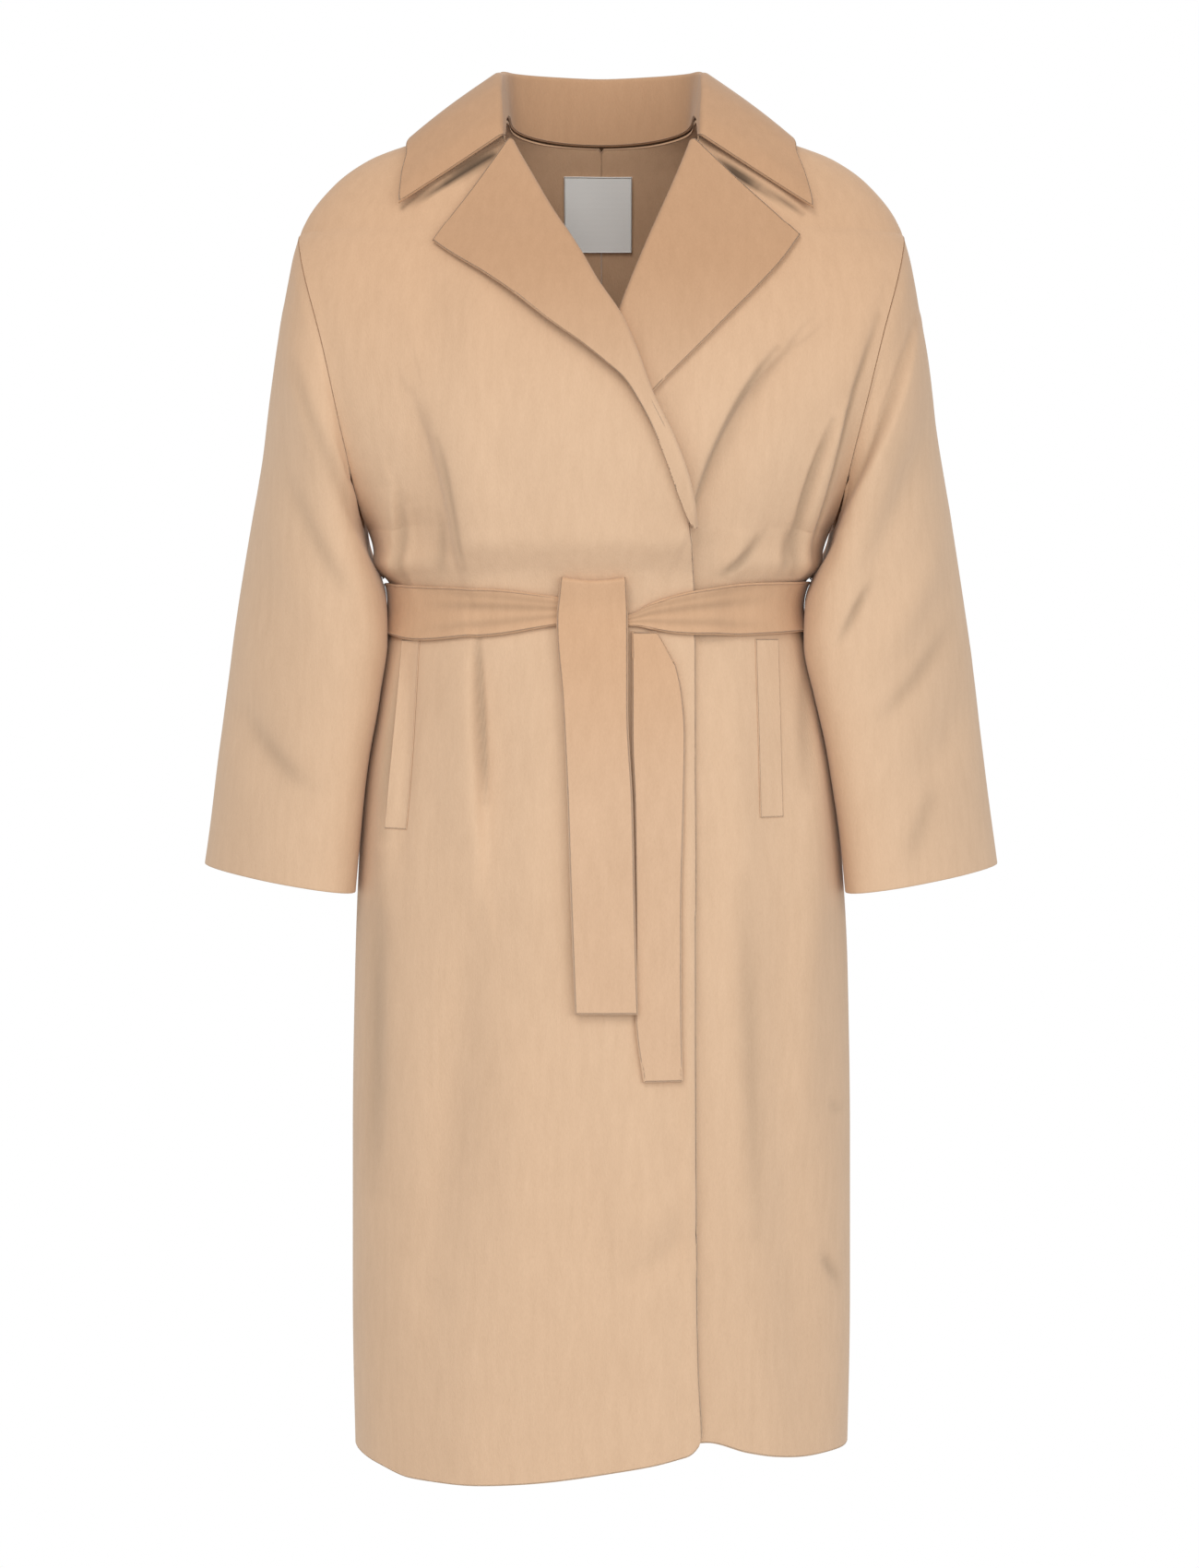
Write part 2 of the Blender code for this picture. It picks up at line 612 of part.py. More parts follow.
def collar():
    """Stand, roll and fall: a folded strip carried round the neck seam."""
    place = np.linspace(-1, 1, COLLAR_STATIONS)
    turn, z, side = neck_place(place)
    foot = form(turn, z, side)
    normal = outward(turn, z, side)
    on_top = step(np.abs(place), 0.55, 0.8)[:, None]
    foot = foot + normal * (WALL / 2 + on_top * (WALL / 2 + LIE + TRIM_WALL / 2))
    over_seam = WALL * np.maximum(normal[:, 2:], 0.1) + 2 * SEAM
    foot = foot + np.array([0, 0, 1.0]) * (1 - on_top) * over_seam
    roll = stack(*(read(COLLAR, "roll_" + axis, place, key="place") for axis in "xyz"))
    edge = skin_round(read(COLLAR, "edge_turn", place, key="place"),
                      read(COLLAR, "edge_z", place, key="place"), COLLAR_LIFT)
    rise = unit(roll - foot)
    over = unit(edge - roll)
    out = unit(over - rise * np.sum(over * rise, axis=1, keepdims=True))
    s = np.linspace(0, 1, 4)[:-1, None, None]
    stand = foot + (roll - foot) * s
    beta = np.linspace(0, np.radians(165), 5)[:, None, None]
    top = roll + out * ROLL_RADIUS * (1 - np.cos(beta)) + rise * ROLL_RADIUS * np.sin(beta)
    s = np.linspace(0, 1, 7)[1:, None, None]
    fall = top[-1] + (edge - top[-1]) * s + out * 4 * np.sin(np.pi * s)
    gap = WALL + LIE + TRIM_WALL / 2
    face = np.where(np.abs(read(COLLAR, "edge_turn", place, key="place")) < 90, 1.0, -1.0)
    fall = clear_of_coat(fall, np.broadcast_to(face, fall.shape[:2]), gap)
    middle = np.concatenate([stand, top, fall]).transpose(1, 0, 2)
    return add_sheet("collar", middle, TRIM_WALL, "cloth_shade")


# ---- belt, loops, welts and label ----

def worn_lift(x, z):
    """The lift of whichever front is outermost."""
    return over_lift(x, z) * (1 - step(x, 86, 112))


def belt_waist():
    """The stretch of belt round the waist, its ends under the knot."""
    turn = np.concatenate([np.linspace(-172, -90, 16), np.linspace(-84, 84, 29), np.linspace(90, 175, 16)])
    across = np.linspace(0, 1, 4)
    top = read(BELT, "top", turn, key="turn")[:, None]
    bottom = read(BELT, "bottom", turn, key="turn")[:, None]
    z = bottom * (1 - across) + top * across
    turn = turn[:, None] + 0 * z
    x = skin_round(turn, z, 0)[..., 0]
    lift = worn_lift(x, z) * (np.abs(turn) > 90) + WALL + LIE + BELT_EASE
    inner = skin_round(turn, z, lift)
    outer = skin_round(turn, z, lift + BELT_WALL)
    return add_wall("belt_waist", inner, outer, "cloth_shade")


def strip(name, z, lift, left, right, columns, colour):
    """A strip of belt that hangs on the front: a row for each height, with its own lift."""
    s = np.linspace(0, 1, columns)
    x = left[:, None] * (1 - s) + right[:, None] * s
    z = z[:, None] + 0 * x
    middle = skin(turn_at(x, z), z, -1.0, lift[:, None] + worn_lift(x, z))
    return add_sheet(name, middle, BELT_WALL, colour)


def belt_tails():
    """The front tail comes over the top of the knot; the back tail hangs behind it."""
    low = WALL + LIE + BELT_EASE + BELT_WALL / 2
    high = low + BELT_WALL + LIE
    radius = 0.5 * (high - low)
    top = TAIL_FRONT["z"][0] - radius
    beta = np.linspace(0, np.pi, 6)
    down = np.concatenate([np.linspace(top - 6, -470, 7), np.linspace(-510, TAIL_FRONT["z"][-1], 8)])
    z = np.concatenate([[top - 8], top + radius * np.sin(beta), down])
    lift = np.concatenate([[low], low + radius * (1 - np.cos(beta)), np.full(len(down), high)])
    left = read(TAIL_FRONT, "left", z)
    right = read(TAIL_FRONT, "right", z)
    strip("belt_tail_front", z, lift, left, right, 5, "cloth")
    z = np.linspace(TAIL_BACK["z"][0], TAIL_BACK["z"][-1], 14)
    left = read(TAIL_BACK, "left", z)
    right = read(TAIL_BACK, "right", z)
    strip("belt_tail_back", z, np.full(len(z), low), left, right, 5, "cloth_shade")


def belt_loop(name, out):
    """A narrow loop over the belt at the side seam, its ends laid on the coat."""
    z = np.array([-374.0, -379, -381, -395, -408, -422, -437, -439, -444])
    near = WALL + LIE
    far = near + BELT_EASE + BELT_WALL + LIE
    lift = np.array([near, near + 0.6, far, far, far, far, far, near + 0.6, near])
    turn = out * (90 + np.linspace(-2.4, 2.4, 3))[None] + 0 * z[:, None]
    z = z[:, None] + 0 * turn
    lift = lift[:, None] + 0 * turn
    return add_wall(name, skin_round(turn, z, lift), skin_round(turn, z, lift + WELT_WALL), "cloth")


def pocket_welt(name, row):
    """An upright strip on the front where the pocket opens."""
    s = np.linspace(0, 1, 8)[:, None]
    z = WELT["z_top"][row] * (1 - s) + WELT["z_foot"][row] * s
    x = WELT["x_top"][row] * (1 - s) + WELT["x_foot"][row] * s
    x = x + WELT["width"][row] * np.linspace(-0.5, 0.5, 4)
    z = z + 0 * x
    inner = skin(turn_at(x, z), z, -1.0, WALL + LIE)
    outer = skin(turn_at(x, z), z, -1.0, WALL + LIE + WELT_WALL)
    return add_wall(name, inner, outer, "cloth_shade")


def neck_label():
    """A blank label on the inside of the back."""
    x = LABEL_CENTRE_X + LABEL_WIDTH * np.linspace(-0.5, 0.5, 5)[None]
    z = LABEL_TOP_Z - LABEL_HEIGHT * np.linspace(0, 1, 5)[:, None]
    x, z = x + 0 * z, z + 0 * x
    inner = skin(turn_at(x, z), z, 1.0, -LABEL_LIE - LABEL_WALL)
    outer = skin(turn_at(x, z), z, 1.0, -LABEL_LIE)
    return add_wall("neck_label", inner, outer, "label")


make_panels()
sleeve("sleeve_left", 1)
sleeve("sleeve_right", -1)
lapel("lapel_over", LAPEL_OVER, EDGE_OVER, -1, over_lift)
lapel("lapel_under", LAPEL_UNDER, EDGE_UNDER, 1, no_lift)
collar()
belt_waist()
belt_tails()
belt_loop("belt_loop_left", 1)
belt_loop("belt_loop_right", -1)
pocket_welt("pocket_welt_left", 0)
pocket_welt("pocket_welt_right", 1)
neck_label()
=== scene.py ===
import math

import bpy
import numpy as np
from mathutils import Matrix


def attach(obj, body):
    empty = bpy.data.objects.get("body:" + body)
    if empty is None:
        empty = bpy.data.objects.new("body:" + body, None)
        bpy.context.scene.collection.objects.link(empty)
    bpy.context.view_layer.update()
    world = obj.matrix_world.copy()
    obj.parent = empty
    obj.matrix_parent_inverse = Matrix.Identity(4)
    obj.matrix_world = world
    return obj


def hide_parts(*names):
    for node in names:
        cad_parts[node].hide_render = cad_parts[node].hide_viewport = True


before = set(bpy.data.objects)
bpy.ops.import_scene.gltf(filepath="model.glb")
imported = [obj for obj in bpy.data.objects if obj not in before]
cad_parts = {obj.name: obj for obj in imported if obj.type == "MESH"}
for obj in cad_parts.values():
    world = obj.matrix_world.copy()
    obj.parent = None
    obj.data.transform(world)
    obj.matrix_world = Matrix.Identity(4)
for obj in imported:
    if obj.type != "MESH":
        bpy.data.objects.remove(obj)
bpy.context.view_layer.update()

# The coat faces -Y and the wearer's left is +X. Lengths below are in millimetres, angles in
# degrees; points are turned into metres where a mesh is made.
mm = 0.001


# A dictionary with one array for each named column.
def table(names, *rows):
    return dict(zip(names.split(), np.array(rows, float).T))


# A table of folds; a row may leave out its lean, which is then 0.
def foldTable(*rows):
    names = "side x0 z0 x1 z1 x2 z2 width height lean"
    return table(names, *((*row, 0)[:10] for row in rows))


# What holds for the whole coat.
coat = dict(
    wall=2.4, hemZ=-1130.0, underarmZ=-339.0, shoulderZ=-85.0, neckSideZ=12.0, neckHalfWidth=80.0,
    armholeHalfDepth=78.0, armholeTurn=35.0, seam=0.35, lie=0.8, overLift=4.8, lapelRoom=6.0,
    waveHeight=0.7, seed=7, sewnRim=0.25, edgeRim=1.1, hold=2.2, blouseHeight=9.5, blouseZ=-367,
    # The last entries set the painted shade: the crease depth at which it is full, and the strength of
    # the painted shadow under the collar ends.
    blouseReach=14, creaseFull=2.2, collarShadow=3.0,
)
armholeMiddle = 0.5 * (coat["underarmZ"] + coat["shoulderZ"])
armholeHalf = 0.5 * (coat["shoulderZ"] - coat["underarmZ"])

# The coat's form, ring by ring: half width and depths of the inside of the cloth, and how far
# the ring's middle lies to the side.
body = table(
    "z halfWidth front back shift",
    (-1160, 210, 150, 141, 0), (-1000, 213, 149, 141, 0), (-860, 213, 146, 140, 0),
    (-720, 211, 142, 138, 0), (-610, 206, 136, 134, -1), (-552, 201, 130, 130, -2),
    (-500, 192, 124, 123, -3), (-442, 181, 114, 114, -5), (-406, 174, 107, 108, -5),
    (-385, 176, 110, 111, -4), (-362, 185, 117, 115, -3), (-339, 198, 122, 119, -2),
    (-260, 217, 128, 124, -1), (-180, 236, 122, 124, 0), (-106, 256, 104, 114, 0),
    (-88, 259, 97, 110, 0), (-74, 254, 91, 106, 0), (-43, 230, 78, 95, 0),
    (-22, 201, 68, 86, 0), (-7, 161, 60, 78, 0), (4, 119, 55, 72, 0),
    (8.8, 100, 52, 69, 0), (12, 80, 50, 67, 0), (14, 60, 48, 65, 0),
)

# The largest folds: three points of a curve, seen from the front (side -1) or the back (1), with
# half width and height. A height below zero is a trough. A lean above 0 makes the fold softer on
# the side that lies to the left when one looks along the curve, and steeper on the other.
bodyFolds = foldTable(
    (-1, 150, -190, 84, -252, 66, -341, 20, 8, -0.7),
    (-1, 160, -192, 95, -252, 77, -341, 18, -8, 0.7),
    (-1, 206, -236, 176, -300, 163, -378, 13, 7, 0.5),
    (-1, 237, -130, 199, -240, 160, -375, 14, 4, -0.6),
    (-1, 120, -340, 112, -362, 104, -384, 9, 4),
    (-1, -146, -222, -121, -285, -103, -388, 20, 6, 0.5),
    (-1, -160, -230, -136, -290, -117, -388, 12, -4, -0.6),
    (-1, -178, -300, -172, -345, -170, -384, 12, 6, -0.6),
    (-1, -158, -320, -155, -355, -153, -384, 12, -4, 0.5),
    (-1, -250, -112, -222, -225, -198, -339, 7, -2.5),
    (-1, -108, -434, -106, -500, -103, -620, 18, 6, -0.7),
    (-1, -98, -434, -95, -520, -90, -640, 24, -7, 0.7),
    (-1, -104, -620, -118, -770, -140, -980, 22, -7, 0.1),
    (-1, -60, -470, -54, -580, -50, -720, 24, 4),
    (-1, -170, -440, -178, -540, -184, -660, 9, 5),
    (-1, -160, -440, -163, -540, -168, -620, 8, -4),
    (-1, 108, -440, 112, -620, 130, -900, 18, 5),
    (-1, 178, -440, 176, -600, 168, -860, 16, 6),
    (-1, 150, -800, 160, -960, 178, -1120, 22, -6),
    (-1, 75, -925, 42, -950, 10, -965, 12, -3, 0.2),
    (-1, 70, -890, 44, -910, 20, -925, 16, 3),
    (-1, -4, -800, -6, -900, 0, -1000, 16, -4),
    (-1, -62, -760, -66, -880, -70, -1000, 24, 5),
    (-1, 70, -440, 71, -780, 72, -1120, 6, 2.5),
    (-1, 30, -760, 34, -950, 44, -1125, 26, 5),
    (1, -130, -438, -126, -600, -120, -820, 18, 9, 0.2),
    (1, -76, -438, -78, -640, -92, -980, 20, -9),
    (1, -30, -438, -28, -560, -26, -700, 14, 6),
    (1, 44, -438, 48, -640, 60, -960, 20, 9, -0.2),
    (1, 96, -438, 104, -600, 120, -900, 20, -9),
    (1, 150, -438, 152, -560, 158, -720, 14, 7),
    (1, -150, -250, -120, -320, -112, -378, 14, 8, 0.2),
    (1, -60, -290, -50, -335, -46, -380, 13, 6),
    (1, 30, -280, 34, -330, 36, -380, 13, 6),
    (1, 148, -240, 120, -310, 108, -378, 14, 8, -0.2),
)

# Smaller creases in the same way.
bodyCreases = foldTable(
    (-1, 146, -190, 94, -246, 73, -341, 2.8, -3.4, 0.2),
    (-1, 192, -248, 164, -308, 155, -376, 2.8, -3.2, 0.2),
    (-1, 234, -160, 196, -262, 168, -375, 2.8, -2.8),
    (-1, 135, -343, 120, -360, 102, -377, 4, -2.0),
    (-1, 159, -337, 153, -356, 147, -375, 4, -2.2),
    (-1, 121, -358, 112, -369, 100, -379, 3.5, -1.6),
    (-1, -134, -266, -118, -310, -111, -372, 3, -1.8, -0.2),
    (-1, -170, -312, -165, -350, -164, -384, 3.5, -1.8),
    (-1, -135, -330, -131, -356, -134, -380, 5, -1.5),
    (-1, -102, -425, -100, -490, -96, -570, 2.8, -3.2),
    (-1, -166, -448, -171, -504, -181, -600, 6, -2.4),
    (-1, 172, -445, 168, -490, 170, -560, 6, -1.6),
    (-1, 186, -954, 194, -966, 201, -983, 4, -1.8),
    (-1, 192, -826, 198, -836, 204, -832, 4, -0.9),
    (-1, -186, -620, -190, -760, -192, -900, 9, -1.6),
    (-1, 116, -640, 122, -780, 130, -930, 9, -1.4),
    (1, -152, -438, -150, -470, -150, -520, 5, -1.8),
    (1, -104, -438, -104, -480, -106, -540, 5, 1.6),
    (1, -52, -438, -52, -470, -50, -520, 5, -1.6),
    (1, 8, -438, 10, -480, 12, -560, 5, -1.6),
    (1, 72, -438, 74, -480, 76, -560, 5, -1.6),
    (1, 128, -438, 130, -480, 132, -560, 5, 1.6),
    (1, -90, -330, -86, -356, -84, -380, 5, -1.5),
    (1, -16, -336, -12, -360, -10, -380, 5, -1.5),
    (1, 66, -330, 70, -356, 70, -380, 5, -1.5),
    (1, -176, -300, -150, -340, -140, -380, 5, -1.8),
    (1, 180, -300, 158, -340, 146, -380, 5, -1.8),
)

# Dark painted shadow on the fronts under the ends of the collar, as marks in the colour only: it narrows
# outwards.
collarShade = foldTable(
    (-1, -86, -19, -106, -31, -130, -44, 5.0, -1),
    (-1, -92, -23, -128, -46, -168, -69, 2.6, -1),
    (-1, 96, -27, 112, -38, 132, -50, 3.4, -1),
    (-1, 98, -29, 132, -52, 170, -74, 2.0, -1),
)

# Folds of each sleeve, all drawn as if it were the wearer's left one.
sleeveFolds = {
    1: foldTable(
        (-1, 273, -160, 248, -250, 208, -344, 16, 7, 0.6),
        (-1, 262, -168, 234, -255, 196, -345, 10, -4, -0.5),
        (-1, 276, -250, 254, -330, 216, -400, 14, -5),
        (-1, 292, -330, 272, -400, 232, -450, 18, 6),
        (-1, 322, -470, 302, -530, 264, -560, 20, -5),
        (1, 266, -160, 238, -260, 214, -345, 14, 8),
        (1, 294, -320, 264, -390, 228, -430, 16, -7),
        (1, 324, -430, 292, -480, 242, -500, 18, 7),
    ),
    -1: foldTable(
        (-1, 268, -165, 242, -256, 206, -344, 20, 4, 0.3),
        (-1, 290, -300, 266, -380, 226, -440, 20, 4),
        (-1, 322, -470, 302, -530, 264, -560, 22, -4),
        (1, 268, -164, 240, -256, 212, -345, 15, 7),
        (1, 290, -310, 262, -386, 226, -434, 17, -6),
        (1, 322, -424, 290, -476, 244, -502, 18, 6),
    ),
}
sleeveCreases = {
    1: foldTable(
        (-1, 266, -162, 240, -250, 200, -344, 3, -2.2),
        (-1, 230, -385, 214, -410, 206, -432, 4, -1.8),
        (-1, 224, -391, 210, -416, 200, -437, 3, -1.4),
        (-1, 300, -420, 270, -470, 236, -500, 7, -1.6),
        (-1, 286, -560, 270, -590, 262, -625, 9, -1.4),
        (1, 270, -420, 250, -450, 230, -465, 6, -1.8),
    ),
    -1: foldTable(
        (-1, 258, -200, 236, -270, 212, -340, 5, -1.4),
        (-1, 262, -300, 240, -360, 214, -395, 7, -1.4),
        (-1, 306, -500, 280, -540, 246, -560, 8, -1.4),
        (1, 276, -400, 252, -440, 230, -460, 6, -1.8),
    ),
}


# A curve through the points (xs, ys) that adds no wave between them, read at x: in each span a
# cubic whose slopes are the harmonic mean of the spans' slopes.
def smooth(x, xs, ys):
    order = np.argsort(xs)
    xs, ys = xs[order], ys[order]
    width = np.diff(xs)
    slope = np.diff(ys) / width
    sameWay = slope[:-1] * slope[1:] > 0
    total = slope[:-1] + slope[1:]
    middle = np.where(sameWay, 2 * slope[:-1] * slope[1:] / np.where(sameWay, total, 1), 0)
    tangent = np.concatenate([slope[:1], middle, slope[-1:]])
    i = np.clip(np.searchsorted(xs, x) - 1, 0, len(width) - 1)
    w = width[i]
    t = (np.clip(x, xs[0], xs[-1]) - xs[i]) / w
    left = ys[i] * (1 + 2 * t) * (1 - t) ** 2 + w * tangent[i] * t * (1 - t) ** 2
    right = ys[i + 1] * t * t * (3 - 2 * t) + w * tangent[i + 1] * t * t * (t - 1)
    return left + right


# The value of a table's column at another column's value.
def read(columns, name, at, key="z"):
    return smooth(np.asarray(at, float), columns[key], columns[name])


# 0 before start, 1 after end, and 3 t^2 - 2 t^3 between; it falls where end is below start.
def rise(x, start, end):
    t = np.clip((np.asarray(x, float) - start) / (end - start), 0, 1)
    return t * t * (3 - 2 * t)


# Vectors made one long.
def unit(v):
    return v / np.maximum(np.linalg.norm(v, axis=-1, keepdims=True), 1e-9)


# Three arrays as one array of points.
def points(x, y, z):
    return np.stack(np.broadcast_arrays(x, y, z), axis=-1).astype(float)


# The cosine of the angle round the armhole at a height: 1 at its middle, 0 above and below, and
# eased at both ends.
def armhole(z):
    sine = np.clip((np.asarray(z, float) - armholeMiddle) / armholeHalf, -1, 1)
    square = np.maximum(1 - sine * sine, 0)
    return square / np.sqrt(square + 0.03)


# The angle at which a panel ends: 90 at the side seam, less in the armhole.
def edgeTurn(z):
    return np.radians(90 - coat["armholeTurn"] * armhole(z))


# The inside of the coat, a half ellipse at each height with a flat rim to the armhole:
# x = width sin(turn) + shift, y = rim + (depth - rim) cos(turn).
def form(turn, z, side):
    end = edgeTurn(z)
    width = read(body, "halfWidth", z) / np.sin(end)
    depth = np.where(side < 0, read(body, "front", z), read(body, "back", z))
    rim = (coat["armholeHalfDepth"] * armhole(z) - depth * np.cos(end)) / (1 - np.cos(end))
    y = side * (rim + (depth - rim) * np.cos(turn))
    return points(width * np.sin(turn) + read(body, "shift", z), y, z)


# The direction that leaves the form at a right angle, from the form's own differences.
def outward(turn, z, side):
    smallTurn, smallZ = 0.004, 0.4
    across = form(turn + smallTurn, z, side) - form(turn - smallTurn, z, side)
    up = form(turn, z + smallZ, side) - form(turn, z - smallZ, side)
    return unit(np.cross(across, up)) * -np.asarray(side, float)[..., None]


# The angle on the form at a place seen from the front or the back.
def turnAt(x, z):
    width = read(body, "halfWidth", z) / np.sin(edgeTurn(z))
    return np.arcsin(np.clip((x - read(body, "shift", z)) / width, -1, 1))


# The sum of folds at a place. Each is height * exp(-(distance / spread)^2) from its curve, which
# is cut into short straight runs, and it fades towards both ends of the curve. The spread goes
# from width * (1 - lean) on one side of the curve to width * (1 + lean) on the other.
def foldHeight(folds, x, z, side):
    total = np.zeros(np.shape(x))
    t = np.linspace(0, 1, 17)
    for sideOf, x0, z0, x1, z1, x2, z2, width, height, lean in zip(*folds.values()):
        curveX = x0 * (1 - t) ** 2 + 2 * x1 * t * (1 - t) + x2 * t * t
        curveZ = z0 * (1 - t) ** 2 + 2 * z1 * t * (1 - t) + z2 * t * t
        reach = 3 * width
        near = (side == sideOf) & (x > curveX.min() - reach) & (x < curveX.max() + reach)
        near &= (z > curveZ.min() - reach) & (z < curveZ.max() + reach)
        if not near.any():
            continue
        px, pz = x[near][:, None], z[near][:, None]
        runX, runZ = np.diff(curveX), np.diff(curveZ)
        runLength = np.hypot(runX, runZ)
        along = ((px - curveX[:-1]) * runX + (pz - curveZ[:-1]) * runZ) / runLength ** 2
        along = np.clip(along, 0, 1)
        awayX = px - curveX[:-1] - along * runX
        awayZ = pz - curveZ[:-1] - along * runZ
        distance = np.hypot(awayX, awayZ)
        best = distance.argmin(axis=1)
        pick = np.arange(len(best)), best
        hand = np.tanh((runX[best] * awayZ[pick] - runZ[best] * awayX[pick]) / runLength[best] / 2)
        spread = width * (1 + lean * hand)
        place = (best + along[pick]) / (len(t) - 1)
        fade = np.sin(np.pi * np.clip(place, 0.04, 0.96)) ** 0.6
        total[near] += height * fade * np.exp(-(distance[pick] / spread) ** 2)
    return total


# A slight unevenness of the cloth: sines of many lengths and directions, added up.
def softWave(x, z, side):
    dice = np.random.default_rng(coat["seed"])
    total = 0
    for length in (210, 150, 105, 80, 58, 44):
        angle, start = dice.uniform(-0.5, 0.5), dice.uniform(0, 2 * np.pi, 2)
        across = x * np.cos(angle) + z * 0.45 * np.sin(angle)
        along = z * 0.4 * np.cos(angle) - x * np.sin(angle)
        wave = np.sin(2 * np.pi * across / length + start[0] + side)
        total = total + wave * np.sin(2 * np.pi * along / length + start[1]) * (length / 210) ** 0.8
    return total * coat["waveHeight"] / 1.6


# The coat blouses a little over the belt towards its sides: a bell in height.
def blouse(turn, z):
    bell = np.exp(-((z - coat["blouseZ"]) / coat["blouseReach"]) ** 2)
    return coat["blouseHeight"] * bell * rise(np.abs(np.sin(turn)), 0.5, 0.95)


# A point on the coat's form, moved out by folds, creases, unevenness and a lift.
def skin(turn, z, side, lift, wall=None):
    side = np.broadcast_to(side, np.shape(turn))
    point = form(turn, z, side)
    calm = 1 - rise(np.abs(np.sin(turn)) / np.sin(edgeTurn(z)), 0.9, 1.0)
    x, height = point[..., 0], point[..., 2]
    out = foldHeight(bodyFolds, x, height, side) + foldHeight(bodyCreases, x, height, side)
    out = (out + softWave(x, height, side)) * calm + blouse(turn, z) + lift
    direction = outward(turn, z, side)
    near = point + direction * out[..., None]
    if wall is None:
        return near
    return near, near + direction * wall


# The same by an angle round the coat: 0 at the back, 180 at the front, minus to the right.
def skinRound(roundTurn, z, lift, wall=None):
    angle = np.radians(np.asarray(roundTurn, float))
    side = np.where(np.cos(angle) >= 0, 1.0, -1.0)
    return skin(np.arcsin(np.sin(angle)), z, side, lift, wall)


# Where the fronts lap: the heights at which they part, the lapel between them begins, and the
# places across at which the top front starts to lie over the under one and ends.
wrap = dict(partZ=(-150, -60), lapelZ=(-376, -346), startX=(-150, -96), endX=(86, 112))


# How far the top front is held off the form where it covers the under front.
def overLift(x, z):
    closed = 1 - rise(z, *wrap["partZ"])
    room = coat["overLift"] + coat["lapelRoom"] * rise(z, *wrap["lapelZ"])
    return closed * room * rise(x, *wrap["startX"])


# A panel that lies on the form itself.
def noLift(x, z):
    return np.zeros(np.shape(x))


# The lift of whichever front is outermost.
def wornLift(x, z):
    return overLift(x, z) * (1 - rise(x, *wrap["endX"]))


# The neck seam: angle, height and side for a place from 0, middle of the back, to 1.
def neckPlace(place):
    along = np.abs(np.asarray(place, float))
    back = np.radians(90) * np.clip(along / 0.5, 0, 1)
    front = np.clip((along - 0.5) / 0.5, 0, 1)
    neckZ, halfWidth = coat["neckSideZ"], coat["neckHalfWidth"]
    z = np.where(along < 0.5, neckZ * (1 - np.cos(back)), neckZ - 20 * front ** 2)
    x = np.where(along < 0.5, halfWidth * np.sin(back), halfWidth + 2 * front)
    side = np.where(along < 0.5, 1.0, -1.0)
    return turnAt(x, z) * np.sign(np.asarray(place, float)), z, side


# A shader socket on which + - and * make Math nodes; node() makes any other
# node, and mix() one that mixes two colours.
class Wire:
    def __init__(self, tree, socket=None):
        self.tree = tree
        self.socket = socket

    def put(self, socket, value):
        if isinstance(value, Wire):
            self.tree.links.new(value.socket, socket)
        else:
            socket.default_value = value

    def maths(self, operation, first, second):
        made = self.tree.nodes.new("ShaderNodeMath")
        made.operation = operation
        self.put(made.inputs[0], first)
        self.put(made.inputs[1], second)
        return Wire(self.tree, made.outputs[0])

    def node(self, kind, settings=None, values=None, out=0):
        made = self.tree.nodes.new(kind)
        for key, value in (settings or {}).items():
            setattr(made, key, value)
        for key, value in (values or {}).items():
            self.put(made.inputs[key], value)
        return Wire(self.tree, made.outputs[out])

    def mix(self, factor, first, second, blend="MIX"):
        settings = {"data_type": "RGBA", "blend_type": blend, "clamp_factor": True}
        return self.node("ShaderNodeMix", settings, {0: factor, 6: first, 7: second}, out=2)

    def __add__(self, other):
        return self.maths("ADD", self, other)

    def __radd__(self, other):
        return self.maths("ADD", other, self)

    def __sub__(self, other):
        return self.maths("SUBTRACT", self, other)

    def __rsub__(self, other):
        return self.maths("SUBTRACT", other, self)

    def __mul__(self, other):
        return self.maths("MULTIPLY", self, other)

    def __rmul__(self, other):
        return self.maths("MULTIPLY", other, self)


# Noise of one size, stretched along Z by a factor, read in the object's own coordinates.
def clothNoise(wire, perMetre, stretch, detail):
    place = wire.node("ShaderNodeTexCoord", out="Object")
    scale = (perMetre, perMetre, perMetre / stretch)
    place = wire.node("ShaderNodeMapping", {"vector_type": "POINT"}, {"Vector": place, "Scale": scale})
    settings = {"noise_dimensions": "3D"}
    values = {"Vector": place, "Scale": 1.0, "Detail": detail, "Roughness": 0.55}
    return wire.node("ShaderNodeTexNoise", settings, values)


# A new material, its main shader, and a wire into its tree.
def newMaterial(name):
    made = bpy.data.materials.new(name)
    made.use_nodes = True
    return made, made.node_tree.nodes["Principled BSDF"], Wire(made.node_tree)
